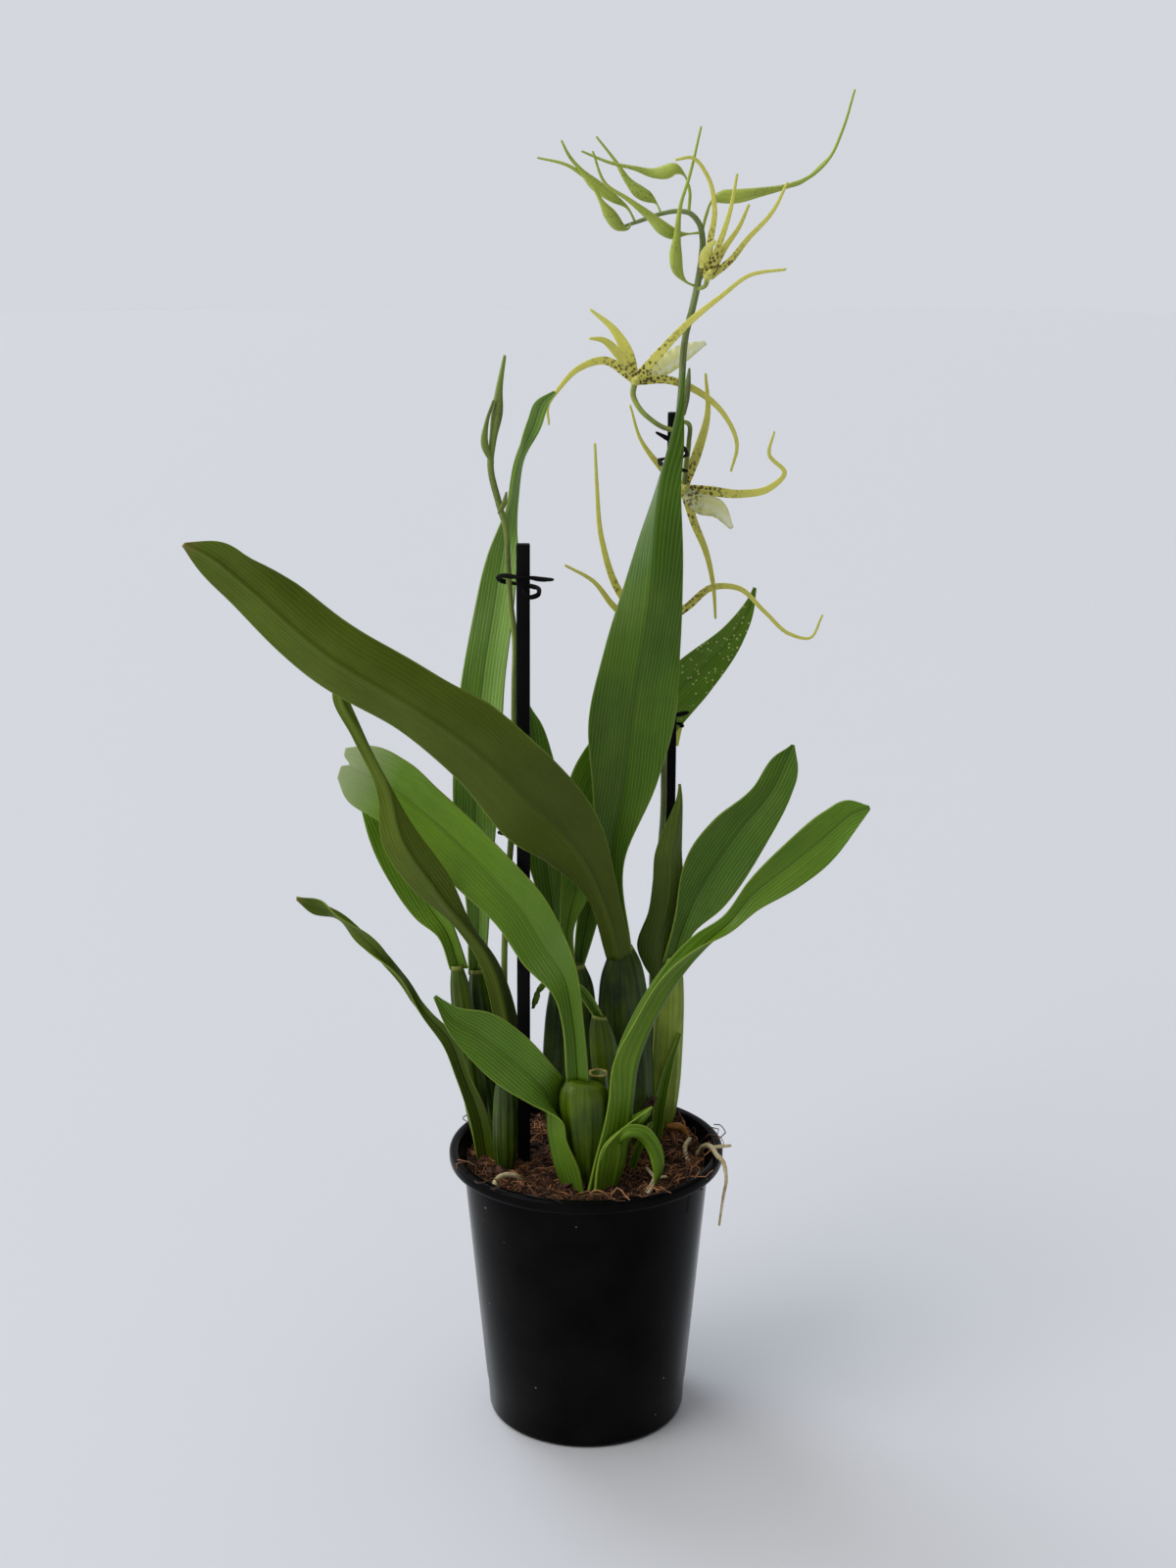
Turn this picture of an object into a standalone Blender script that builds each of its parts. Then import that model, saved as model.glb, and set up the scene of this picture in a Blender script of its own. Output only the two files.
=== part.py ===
"""Potted brassia orchid, real size, Z up, origin at the centre of the pot's flat underside.

X is to the viewer's right and Y away from the viewer. Sizes below are in millimetres and are
turned into metres when a mesh is made. Every leaf, pseudobulb, flower, stake and tie is one
closed solid that stays 0.3 mm or more clear of its neighbours.
"""
import bpy
import bmesh
import numpy as np
from math import cos, sin, pi, radians

MM = 0.001
GAP = 0.35                      # clearance between neighbouring pieces

# Nursery pot
RIM_RADIUS = 65.0
RIM_INNER_RADIUS = 60.6
POT_HEIGHT = 134.0
LIP_HEIGHT = 6.0
BODY_TOP_RADIUS = 58.6
BASE_RADIUS = 47.0
BASE_ROUND = 2.5
WALL = 1.5
FLOOR = 2.0
POT_SIDES = 48
DRAIN_RING_RADIUS = 35.0
DRAIN_RADIUS = 3.5
DRAIN_COUNT = 8

# Potting mix
MIX_LEVEL = 124.5
HEAP_PLACE = (37.0, 44.0)
HEAP_RISE = 13.0
HEAP_SPREAD = 11.0
MIX_RINGS = (12, 24, 36, 47, 55.9)

# Stakes are square bars, given by the middle of each end
STAKE_SIDE = 6.0
STAKES = {
    "stake_short": ((-30.3, -2.0, 22.0), (-27.9, 2.0, 420.5)),
    "stake_tall": ((38.0, 29.0, 76.0), (40.7, 53.4, 474.0)),
}

# Pseudobulbs: foot, top, half width, half depth, slope of the leaf ring along X
BULBS = {
    "bulb_front": ((1, -28, 118), (-4, -28.5, 179.4), 12.5, 8.5, 0.0),
    "bulb_mid_right": ((22, 14, 118), (16, 14.5, 226.6), 13.0, 8.0, 0.4),
    "bulb_right": ((37, 24.5, 120), (41, 22.5, 220.2), 7.4, 4.6, 0.25),
    "bulb_mid": ((-10, 17, 118), (-6.5, 17, 218.4), 13.2, 8.0, 0.0),
    "bulb_back_left": ((-40, 25, 118), (-52, 21.5, 214.3), 7.5, 5.5, 0.1),
    "bulb_front_left": ((-38, -12, 118), (-38, -12, 174), 6.0, 5.0, 0.0),
    "bulb_far_left": ((-49, 10, 118), (-61, 13, 219.2), 6.0, 4.8, 0.1),
    "bulb_small": ((17, -4, 118), (6, -5, 200.8), 7.5, 5.0, -0.2),
}

# A leaf is a row of stations from foot to tip: the middle of the blade, the step from there to
# one margin (the other margin is opposite), and how far the midrib sinks out of that line.
LEAVES = {
    "leaf_left_arch": (
        ((15, 12, 227), (-5.2, 1, -2), 3.0), ((8, 8, 255), (-7, 1.5, -1.5), 3.5),
        ((-3, -3, 285), (-9.5, 3, -10), 4.0), ((-25, -19, 312), (-9.7, 5, -18.5), 5.0),
        ((-49, -33, 337), (-9, 5, -15), 4.5), ((-73, -44, 357), (-7.5, 4, -12), 3.5),
        ((-110, -59, 384), (-8, 3, -11.3), 3.0), ((-140.5, -72, 414.8), (-5.5, 2, -9), 2.5),
        ((-154, -81, 428), (-4.5, 1.3, -5.5), 1.2), ((-162.6, -85, 432.9), (-0.6, 0.2, -0.6), 0.0)),
    "leaf_tall_front": (
        ((17, 17.8, 227.8), (3.7, 0, 0), 1.5), ((12, 19, 268), (5.7, 0, 0), 3.0),
        ((18, 20, 306), (15, 0, 0), 5.0), ((21, 21, 335), (19.9, -1, 1), 7.0),
        ((26, 22, 370), (17.3, 0, 0), 8.0), ((32, 24, 406), (12, 2, 0), 8.0),
        ((35, 26, 427), (8.4, 6, 0), 9.0), ((38, 27, 445), (4.5, 7, 0), 9.0),
        ((42, 30, 462), (0.7, 6, 1), 7.0), ((42, 31, 477), (0.5, 3, 0), 3.5),
        ((44, 31, 494), (0.6, 0.6, 0), 0.3)),
    "leaf_right_folded": (
        ((34.4, 24.4, 215), (3.0, 0.5, 1.2), -1.0), ((33.5, 25.5, 227), (6.5, 1, 1.4), -2.5),
        ((37, 26, 245), (6.3, 1.5, 0.3), -3.0), ((39, 24, 268), (7, 2, -0.6), -3.0),
        ((39, 22, 282), (5.8, 1.5, -0.9), -2.0), ((43, 22, 297), (0.6, 0.5, 0), 0.0)),
    "leaf_right_broad": (
        ((42, 21, 221), (4.6, 0, 1.0), 1.5), ((46, 20, 235), (4.2, 0, -3.2), 2.5),
        ((55, 20, 255), (9.5, -1, -9.4), 4.0), ((71, 17, 282), (11.9, -1, -6.4), 3.5),
        ((86, 15, 303), (8.6, -1, -1.9), 2.5), ((92, 13, 318), (5.4, -1, -2.1), 1.0),
        ((95, 12, 326), (0.8, 0, 0), 0.0)),
    "leaf_far_right": (
        ((10.5, -33, 122.5), (3.2, 0.5, 0.6), 1.0), ((16, -31, 150), (3.8, 1, 0.5), 2.0),
        ((17.5, -28, 173), (4.3, 0, 0.5), 2.5),
        ((22, -26, 194), (4.5, 0, 1.9), 2.5), ((37, -24, 223), (4.5, 0, 0.7), 3.0),
        ((52, -22, 237), (3.6, 0, -2.8), 2.5), ((65, -21, 250), (1.8, 0, -2.8), 1.5),
        ((76, -20, 264), (2.3, 0, -6.7), 2.0), ((93, -20, 278), (3.5, 0, -10.1), 2.5),
        ((109, -20, 292), (2.5, 0, -11), 2.0), ((120, -20, 302), (1.5, 0, -6.4), 1.0),
        ((127, -20, 305), (0.3, 0, -0.8), 0.0)),
    "leaf_front_apical": (
        ((-4, -29, 180), (4.9, 0, 0), 2.0), ((-6, -28, 205), (4.7, 0, 0), 3.0),
        ((-10, -26, 225), (5.6, 0.5, 5.5), 3.5), ((-20, -18, 239), (8.5, 0.5, 8.5), 3.5),
        ((-30, -13, 254), (10, 0, 8), 3.0), ((-48, -5, 271), (8.9, 0, 10.3), 3.0),
        ((-72, 4, 292), (5, 0, 14.5), 3.0), ((-89, 9, 305), (6.9, -1, 14.3), 2.5),
        ((-107, 13, 314), (5.4, -1, 11.9), 1.5), ((-113, 15, 317), (2.2, 0, 7.2), 0.5)),
    "leaf_front_basal": (
        ((-1, -38, 122.5), (3, 0.5, 0.3), 1.0), ((-5, -40, 145), (3, 0, 1.2), 1.5),
        ((-12, -40, 169), (3.3, 0, 2.4), 2.0), ((-20, -36, 178), (5.8, 1.5, 7.5), 2.5),
        ((-35, -32, 190), (6.7, 2, 10.6), 2.5), ((-49, -28, 200), (4.9, 2, 9.9), 2.0),
        ((-60, -26, 206), (2.2, 1.5, 5.6), 1.0), ((-69, -24, 217), (0.6, 0, 0.6), 0.0)),
    "leaf_left_twisted": (
        ((-47, -1, 122.5), (4.2, -0.5, 0.3), 1.5), ((-51, -1, 148), (4.4, 0, 0.5), 2.0),
        ((-58, -2, 169), (3.3, 0, 0.5), 2.0), ((-64, -3, 187), (3, 0, 2), 1.5),
        ((-74, -4, 200), (1.6, 0, 1.7), 1.0), ((-85, -4, 219), (0.5, 4.5, -0.9), 1.0),
        ((-103, -6, 238.5), (3.3, -1.5, 1.8), 1.0), ((-115, -6, 249), (0.9, -4, 1.8), 1.0),
        ((-124, -6, 254), (1.7, 0, 3.3), 0.8), ((-133, -6, 258), (0, 0, 0.7), 0.0)),
    "leaf_left_folded": (
        ((-32, 8, 122.5), (-3.2, -0.5, 0), 1.5), ((-33, 8, 150), (-3.4, -0.5, 0), 2.0),
        ((-38, 7, 194), (-5.5, -2, 0.8), 2.5), ((-46, 5, 224), (-4.5, -2, 1.4), 2.5),
        ((-57, 0, 243), (-4.2, -2, 1.1), 2.5), ((-71, -12, 268), (-8.8, -2, -1.7), 4.0),
        ((-84, -20, 292), (-7.6, -1.5, -2.1), 4.0), ((-90, -24, 315), (-2.8, -2, 0.1), 2.0),
        ((-100, -28, 339), (-2.6, -1.5, 0.4), 1.5), ((-107, -30, 357), (-3.6, -0.5, 0.8), 1.0),
        ((-108, -33, 368), (-1, 0, 0), 0.0)),
    "leaf_left_behind": (
        ((-61, 13, 220), (3.9, 0, 0.5), 1.5), ((-66, 14, 235), (3.9, 0, 1.7), 2.0),
        ((-74, 17, 246), (6.3, 0, 5.3), 2.5), ((-86, 22, 267), (9.3, 0, 4.6), 3.0),
        ((-94, 27, 287), (9.6, 0, 4.8), 3.0), ((-100, 31, 299), (6.8, 0, 3.6), 2.0),
        ((-106, 33, 310), (0.9, 0, 0.5), 0.0)),
    "leaf_tall_back": (
        ((-52, 21, 215), (3.7, 0, 0.5), 1.5), ((-51, 22, 241), (5.1, 0, 0.5), 2.5),
        ((-52, 24, 286), (9.7, 0, 0.5), 3.5), ((-51, 25, 314), (11, 0, 0.5), 3.5),
        ((-48, 26, 351), (10, 0, 0.5), 3.0), ((-42, 27, 389), (8.8, 0, 1), 2.5),
        ((-38, 28, 413), (6.7, 0.5, 1), 2.0), ((-33, 28, 435), (1.9, 4, 0.2), 1.0),
        ((-30, 28, 452), (1.7, 4, 1.3), 1.0), ((-23, 28, 471), (3.2, 1, -1), 1.0),
        ((-19, 28, 481), (2.6, 1, -0.7), 0.6), ((-14, 28, 485), (0.5, 0, -0.4), 0.0)),
    "leaf_right_back": (
        ((-8, 13.5, 219.2), (2.5, 0, 0.2), 0.8), ((-9, 15, 236), (3, 0, 0.5), 1.5),
        ((-4, 19, 257), (7.6, 0, -1.7), 2.5), ((0, 25, 281), (11.1, 0, -4.3), 3.0),
        ((6, 33, 303), (12, 0, -6.2), 3.0), ((18, 43, 317), (11.2, 0, -9.6), 3.0),
        ((36, 54, 334), (9.2, 0, -8.9), 2.5), ((54, 62, 350), (6, 0, -8.4), 2.0),
        ((71, 69, 367), (3.8, 0, -4.8), 1.2), ((79, 73, 381), (1.7, 0, -2.4), 0.5),
        ((81, 74, 389), (0.6, 0, -0.3), 0.0)),
    "leaf_mid_back": (
        ((-10.5, 18, 219), (2.5, 0, 0), 0.8), ((-16, 22, 244), (3.7, 0, 1.2), 2.0),
        ((-19, 26, 268), (8.3, 0, 1.9), 3.0), ((-21, 27, 296), (9.2, 0, 1.2), 3.0),
        ((-23, 28, 318), (6.9, 0, 0.5), 2.0), ((-25, 28, 332), (4.1, 0, 0.5), 1.0),
        ((-27, 28, 341), (0.8, 0, 0), 0.0)),
    "leaf_short_back": (
        ((-3, 21, 219), (2.3, 0, 0.5), 0.8), ((1, 25, 239), (4.7, 0, -0.7), 2.0),
        ((6, 30, 259), (5.6, 0, -1.2), 1.5), ((6, 33, 272), (3, 0, -0.5), 1.0),
        ((7, 34, 282), (0.6, 0, 0), 0.0)),
    "leaf_small_growth": (
        ((4.5, -5, 202), (2.1, 0, -0.6), 1.0), ((-3, -4, 213), (1.8, 0, 1), 0.8),
        ((-12, -2, 218), (0.5, 0, 1.4), 0.4), ((-21, 1, 213), (0.5, 0, 1.5), 0.3),
        ((-25, 2, 202), (0.5, 0, 0.2), 0.0)),
    "bract_curled": (
        ((13.6, -37, 122.5), (2.2, 0, 0.5), 0.8), ((18, -37, 145), (1.5, -0.5, 3.8), 1.5),
        ((24, -38, 152), (0.8, -1, 4.4), 1.5), ((30, -39, 149), (2.4, -1, 2.2), 1.2),
        ((32.5, -40, 138), (2, 0, 0.5), 0.6), ((31.5, -40, 131), (0.6, 0, 0.1), 0.0)),
    "bract_tall": (
        ((33, 16, 122.5), (2.8, 0, 0), 1.0), ((37.5, 16, 157), (2.2, 0, 0), 1.0),
        ((41, 16.5, 171), (1.4, 0, 0), 0.5), ((45, 17, 183), (0.5, 0, 0), 0.0)),
    "bract_sliver": (
        ((20.5, -11, 122.5), (1.2, 0, -0.5), 0.4), ((26, -11, 140), (1.4, 0, -1), 0.4),
        ((31, -10, 149), (0.4, 0, -0.3), 0.0)),
    "husk_brown": (
        ((28.3, 7.9, 145), (1.8, 0, 2), 0.6), ((30.4, 8.6, 150), (1.5, 0.8, -1.8), 0.8),
        ((33.4, 8.0, 153.5), (0.4, 1, 0.8), 0.0)),
}
LEAF_THICK = 0.9
LEAF_THICK_BY_NAME = {"bract_sliver": 0.8, "husk_brown": 0.8, "leaf_small_growth": 0.8}

# Rods are rows of x, y, z and radius
SPIKE_TALL = (
    (30, 31.5, 124, 1.7), (31.5, 33.5, 170, 1.7), (33, 36, 240, 1.6), (36.7, 36.8, 290, 1.5),
    (36.8, 38.2, 312, 1.5), (38, 41, 350, 1.5), (40, 44.3, 412, 1.5), (41.1, 46.6, 452, 1.5),
    (43.5, 48, 484, 1.6), (45.4, 47, 510, 1.6), (48.3, 46, 522, 1.6), (50.3, 45, 532, 1.6),
    (51.9, 44, 544, 1.5), (52.2, 44, 551, 1.4), (50.3, 43, 558.5, 1.3), (46.5, 43, 562.5, 1.2),
    (40.2, 43, 563.5, 1.1), (34, 43, 562.5, 1.0), (23.2, 43, 559, 0.9), (17, 43, 557, 0.7))
SPIKE_TALL_BRACTS = (
    ((44.6, 47.0, 474, 1.2), (45.6, 45.4, 481, 2.4), (46.4, 45.6, 488, 1.8), (47, 46.0, 494, 0.6)),
    ((50.4, 44.9, 533, 1.0), (52.2, 44.4, 536, 1.2), (52.9, 44.2, 539.5, 0.5)),
)
SPIKE_YOUNG = (
    (-38, 15, 124, 1.6), (-38.5, 13.5, 180, 1.6), (-38.3, 13, 231, 1.5), (-36.7, 12.5, 258, 1.5),
    (-34.6, 11.5, 284, 1.5), (-32.6, 9.3, 354, 1.4), (-32.2, 8.8, 377, 1.4),
    (-34, 8, 393, 1.4), (-35, 7, 413, 1.3), (-35.6, 6, 426, 1.3), (-38.7, 6, 438, 1.5),
    (-42.2, 6, 455, 1.5), (-41, 6, 466, 1.7), (-39, 6, 478, 2.6), (-38, 6, 488, 1.6),
    (-35.5, 6, 502, 0.7))
SPIKE_YOUNG_BUDS = (
    ((-41.5, 5.5, 456, 1.0), (-44.6, 3.5, 464, 1.8), (-43.5, 3, 474, 1.0), (-40.5, 3, 483, 0.6)),
    ((-38.6, 5.5, 434, 0.8), (-36.4, 4, 438, 1.3), (-35.2, 3, 443, 0.5)),
)
BUDS = {
    "bud_1": ((46.6, 41.6, 565.6, 0.9), (45.9, 42, 573, 0.9), (43.1, 42, 579.5, 0.9),
              (39.1, 41, 581.4, 1.6), (35.4, 41, 580.2, 2.7), (30.4, 41, 579.7, 2.2),
              (21.7, 40, 581.8, 1.3), (10.4, 40, 584.3, 0.9), (-1.7, 40, 589, 0.6)),
    "bud_2": ((32.9, 45, 564.4, 0.8), (31.1, 46, 567.2, 0.8), (28.1, 47, 569.3, 1.4),
              (23.7, 48, 571.8, 2.6), (19.3, 49, 576, 1.8), (13.2, 50, 585, 1.0),
              (4.8, 50, 595.4, 0.6)),
    "bud_3": ((21, 44.8, 561.4, 0.7), (18.4, 44.6, 565, 0.8), (11.8, 44, 569.3, 1.1),
              (3.8, 44, 575, 2.3), (-2.6, 43, 581.4, 1.5), (-7.8, 43, 587.7, 0.9),
              (-10.8, 43, 593.5, 0.6)),
    "bud_4": ((20.4, 40.7, 556.3, 0.7), (18.3, 39, 555.8, 0.8), (14.8, 38, 557, 1.1),
              (10.5, 37, 562, 2.6), (6.5, 36, 568, 1.4), (3.5, 36, 573.3, 0.9),
              (0, 36, 577, 0.6)),
    "bud_5": ((49.6, 41, 553.6, 0.8), (44.1, 39.6, 553.6, 0.9), (39.2, 38.4, 553.6, 1.3),
              (34.4, 36, 555.8, 2.7), (28.7, 35, 560.8, 2.2), (18.2, 34, 568.7, 1.3),
              (8.7, 33, 575, 0.9), (3, 33, 588.6, 0.6)),
    "bud_6": ((47.3, 43.2, 530.8, 0.8), (44.2, 40, 533.4, 0.9), (40.9, 38, 537.9, 1.5),
              (39.8, 36, 544, 2.6), (40.2, 34, 552, 1.8), (41.7, 34, 565.8, 1.1),
              (45.6, 35.5, 578.4, 0.9), (50.5, 37, 599.2, 0.6)),
    "bud_7": ((53.9, 46, 555.6, 0.8), (54, 46.4, 562.5, 0.9), (56, 46, 567.4, 0.9),
              (60, 46, 569.6, 1.7), (67, 46, 570.1, 2.8), (77.5, 47, 571.8, 2.2),
              (89.7, 47, 574.4, 1.4), (99.1, 46, 578.1, 1.1), (107.6, 45, 585.7, 0.9),
              (113.6, 44, 598.6, 0.8), (118.2, 43, 615, 0.6)),
}
BUD_SECOND_TAILS = {
    "bud_3": ((0, 43.6, 578, 1.0), (-7.8, 43.4, 583, 0.8), (-21.3, 43, 586.4, 0.5)),
    "bud_7": ((86, 47, 573.6, 1.0), (95.1, 49, 575.6, 0.9), (108.9, 50, 587.1, 0.5)),
}

# Flowers: centre, pedicel, five tepals and the lip. Tepal and lip rows end in half widths.
BLOOMS = {
    "bloom_top": dict(
        centre=(54.6, 39, 536.4), body=3.6,
        pedicel=((53.2, 41.8, 528.4, 0.9), (53.6, 40.6, 531.5, 1.1), (54.4, 39.2, 535, 1.3)),
        tepals=(
            ((54.4, 38.5, 537, 2), (55, 37, 549, 1.6), (56.9, 36, 563.7, 1.2),
             (53.6, 35, 578.3, 0.9), (46.5, 34, 586.2, 0.8), (39.6, 33, 585.3, 0.6)),
            ((55.4, 38, 538, 1.8), (58.8, 36, 548, 1.5), (63.7, 34, 563.7, 1), (66.5, 34, 579, 0.6)),
            ((56, 39.5, 537, 1.8), (62.1, 40, 548, 1.4), (68.1, 40, 556.6, 1), (72.3, 40, 566, 0.6)),
            ((56, 40.5, 535.5, 1.8), (64.5, 41, 542.1, 1.5), (71.8, 42, 551, 1.2),
             (83.4, 42, 563.8, 0.9), (89.2, 41, 575.5, 0.6))),
        lip=((54, 37.5, 537, 2.5), (51.6, 35, 543, 3.2), (53.6, 33, 549, 2.2), (58.5, 31, 553, 0.7))),
    "bloom_upper": dict(
        centre=(22.4, 48, 489), body=2.9,
        pedicel=((39.9, 47.2, 466.6, 1.2), (35.1, 47.2, 467.8, 1.2), (29.6, 47, 471.3, 1.2),
                 (24.2, 47, 476.6, 1.3), (21.5, 48, 482.7, 1.4), (22.3, 48, 488, 1.5)),
        tepals=(
            ((23.4, 47.4, 490, 2.2), (34.2, 43, 502.4, 2.0), (46.4, 41, 515.1, 1.6),
             (60.2, 39, 526.3, 1.1), (73.1, 37, 535.8, 0.9), (88.7, 36, 538.4, 0.6)),
            ((21.4, 47.2, 489.6, 2.0), (8.5, 45, 497.9, 1.9), (-4, 42, 494.1, 1.4),
             (-12, 40, 486, 1.0), (-17.3, 39, 477.7, 0.7), (-16.9, 39, 469.8, 0.5)),
            ((22, 48.8, 490, 2.4), (18.8, 51, 501, 2.8), (12.1, 53, 511.9, 1.7), (2.2, 55, 520, 0.6)),
            ((21, 47, 490, 2.0), (14.2, 43, 501.5, 2.2), (7.5, 41, 507.3, 1.4), (1.8, 40, 508, 0.6)),
            ((23.6, 48.8, 488.6, 2.0), (38.2, 53, 488.6, 1.9), (51.8, 54, 483.2, 1.6),
             (63.3, 55, 473.3, 1.2), (69.9, 55, 458.4, 0.9), (67.4, 55, 447.1, 0.6))),
        lip=((23.9, 49.0, 489.8, 2.1), (34.6, 55, 494.6, 4.6), (44.6, 58, 500.7, 5.0),
             (55, 60, 505.4, 0.7))),
    "bloom_middle": dict(
        centre=(45.8, 62, 437.7), body=2.9,
        pedicel=((45, 48.6, 470.5, 1.0), (47, 51.8, 469, 1.1), (47.8, 59, 460, 1.2),
                 (46.7, 62, 448.7, 1.3), (45.9, 62, 439, 1.4)),
        tepals=(
            ((46, 62.6, 439, 2.2), (52.2, 63, 455.4, 2.3), (56.4, 61, 472.8, 1.4), (55.2, 60, 490.8, 0.6)),
            ((46.8, 61.8, 437.7, 2.2), (57.8, 61, 436.9, 2.4), (71.5, 59, 435.8, 2.0),
             (85.5, 57, 438.7, 1.6), (92.3, 56, 445.8, 1.1), (85, 56, 454.4, 0.9),
             (87.1, 56, 464.7, 0.5)),
            ((46, 62.6, 436.5, 2.0), (51.2, 63, 421, 1.9), (56.4, 62, 408.6, 1.5),
             (60.4, 62, 390.9, 1.0), (61.5, 62, 376.5, 0.6)),
            ((44.8, 62.6, 438.4, 2.0), (33.4, 62, 449.6, 1.5), (25.5, 60, 460.7, 0.9),
             (20.4, 58, 476.6, 0.5)),
            ((44.8, 63, 436.6, 2.0), (36, 63, 423.3, 1.5), (32.3, 61, 408.7, 0.7))),
        lip=((46.6, 60.8, 437, 2.4), (52.7, 58, 431.8, 4.0), (60.9, 57, 429.6, 3.6),
             (68.3, 56, 420.5, 0.7))),
    "bloom_lower": dict(
        centre=(32.6, 62, 372), body=2.9,
        pedicel=((36.8, 43.9, 401.5, 1.0), (31.9, 48.4, 396, 1.1), (30.6, 56, 386.5, 1.2),
                 (32, 61.6, 376.7, 1.4), (32.5, 62, 373, 1.5)),
        tepals=(
            ((31.6, 62, 373, 2.0), (17.6, 60, 386.5, 1.9), (7.3, 58, 414.7, 1.3),
             (5, 57, 440.1, 0.9), (4.1, 56, 459.2, 0.6)),
            ((31.6, 61.6, 372, 2.0), (14.8, 58, 381.2, 1.6), (2.7, 56, 395.6, 1.0),
             (-9.7, 55, 402.7, 0.6)),
            ((33.6, 62, 372.4, 2.0), (47.4, 60, 381.8, 1.9), (60, 56, 392.3, 1.6),
             (71.6, 56, 391.8, 1.3), (84.4, 57, 380.4, 1.0), (96.7, 57, 369.6, 0.9),
             (106, 57, 367.7, 0.7), (111.8, 57, 378.6, 0.5)),
            ((33, 62.8, 371, 2.0), (42.4, 67, 347.2, 1.8), (45, 68, 327.6, 2.2),
             (44.2, 67, 313.2, 0.7)),
            ((32.8, 62.8, 373, 2.0), (34.9, 65, 392.7, 1.6), (36.1, 64, 409.2, 0.6))),
        lip=((33.2, 61.2, 371, 2.2), (39, 58.4, 366.5, 3.6), (42.6, 57.4, 360, 0.8))),
}
TEPAL_THICK = 1.2
LIP_THICK = 1.0

# Twisted wire ties
TIE_RADIUS = 1.0
TIES = {
    "tie_short_top": (
        (-15.2, -3.4, 405.3), (-19.9, -3, 405.4), (-24.7, -2.6, 406), (-30.5, -2.6, 406.3),
        (-36.2, -0.6, 406.6), (-39.2, 5, 405.1), (-37.6, 11, 402.4), (-31.8, 12.2, 401),
        (-24.2, 8, 400.4), (-21, 1, 400), (-21.6, -3.4, 398.3), (-25.2, -4.2, 397.6),
        (-27.6, -4.6, 400.4)),
    "tie_tall_top": (
        (32.7, 43, 465.4), (38.6, 43.4, 462.2), (44.6, 46, 458.4), (46.6, 53, 454.5),
        (42, 57.4, 452.4), (36, 56, 452.4), (33.6, 50, 451.8), (36.4, 43.6, 450.5),
        (42.3, 43.2, 449), (46, 46, 448)),
    "tie_tall_mid": (
        (47.4, 36.6, 336), (41.4, 36.2, 334.7), (35, 36.4, 333.5), (33, 42, 331.3),
        (35.4, 49, 329), (40.5, 50, 328), (44.8, 48, 327.8), (45.4, 43.6, 327.8)),
    "tie_short_low": (
        (-24.5, -3.8, 285.4), (-30.4, -3.9, 286.8), (-36.4, -2, 287.8), (-39.6, 5, 286.7),
        (-38, 14, 283.4), (-32.5, 15, 281.7), (-25.5, 10, 281.1), (-23.4, 2, 282)),
}

# Aerial roots in the mix and over the rim; the second and later rows are side branches
ROOTS = {
    "root_front_left": (((-42, -21, 123, 1.3), (-41, -26, 128.5, 1.4), (-39, -33, 129, 1.3),
                         (-38.5, -39, 123.5, 1.2)),),
    "root_front_right": (((32, -15, 125, 1.4), (33, -22, 129, 1.4), (31, -32, 128.5, 1.4),
                          (26, -45, 126, 1.2)),
                         ((32, -27, 129, 1.0), (28.5, -20, 130.5, 0.7)),
                         ((32, -27, 129, 1.0), (37, -26, 129, 0.7))),
    "root_right": (((50, 16.5, 129, 1.2), (47.5, 9, 128.5, 1.3), (48.5, -3, 125.5, 1.0)),),
    "root_orange": (((40.6, 20, 134.5, 1.6), (45.5, 21.5, 133.5, 1.8), (49, 22, 129, 1.5),
                     (50.5, 20.5, 124.5, 1.2)),),
    "root_over_rim": (((52.5, 6, 125, 1.2), (56.5, 0, 133, 1.3), (59.4, -9, 135.9, 1.3),
                       (61, -17, 136.0, 1.2), (64, -24, 134.9, 1.1), (65.2, -25.6, 129, 0.9),
                       (63.9, -25.6, 118, 0.7), (62.4, -24.6, 104, 0.6)),
                      ((59.4, -9, 135.9, 0.9), (63, -8, 136.2, 1.0), (68, -8, 136.6, 0.7))),
}
LEAF_STUB = ((10, -16, 122.5, 3.0), (9, -16.4, 140, 3.8), (7, -17.4, 160, 3.4), (6, -17.8, 172, 3.0))

# Leaves and bracts whose feet stand in the mix
LEAVES_FROM_MIX = ("leaf_far_right", "leaf_front_basal", "leaf_left_twisted", "leaf_left_folded",
                   "bract_curled", "bract_tall", "bract_sliver")

COLOURS = {                     # sRGB colour and roughness
    "pot_plastic": ("#121214", 0.22),
    "potting_mix": ("#4A3024", 0.95),
    "stake_plastic": ("#17171B", 0.55),
    "tie_wire": ("#1C1C20", 0.5),
    "leaf_green": ("#3F6A22", 0.45),
    "leaf_dark": ("#2F4A16", 0.5),
    "leaf_fresh": ("#5C8A28", 0.42),
    "bulb_green": ("#33521F", 0.45),
    "bulb_fresh": ("#587F26", 0.42),
    "bract_pale": ("#7E8F45", 0.6),
    "husk_brown": ("#5A4632", 0.85),
    "spike_green": ("#5B6B3A", 0.5),
    "bud_green": ("#8FA63C", 0.5),
    "bloom_yellow": ("#C3C95C", 0.55),
    "root_white": ("#CFC7AE", 0.8),
    "root_orange": ("#A8783F", 0.8),
}


def linear(channel):
    return channel / 12.92 if channel <= 0.04045 else ((channel + 0.055) / 1.055) ** 2.4


def material(name):
    """The named Principled material, made on first use."""
    found = bpy.data.materials.get(name)
    if found:
        return found
    code, roughness = COLOURS[name]
    rgb = [linear(int(code[i:i + 2], 16) / 255) for i in (1, 3, 5)]
    made = bpy.data.materials.new(name)
    made.use_nodes = True
    shader = made.node_tree.nodes["Principled BSDF"]
    shader.inputs["Base Color"].default_value = (*rgb, 1)
    shader.inputs["Roughness"].default_value = roughness
    shader.inputs["Metallic"].default_value = 0.0
    made.diffuse_color = (*rgb, 1)
    return made


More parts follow.
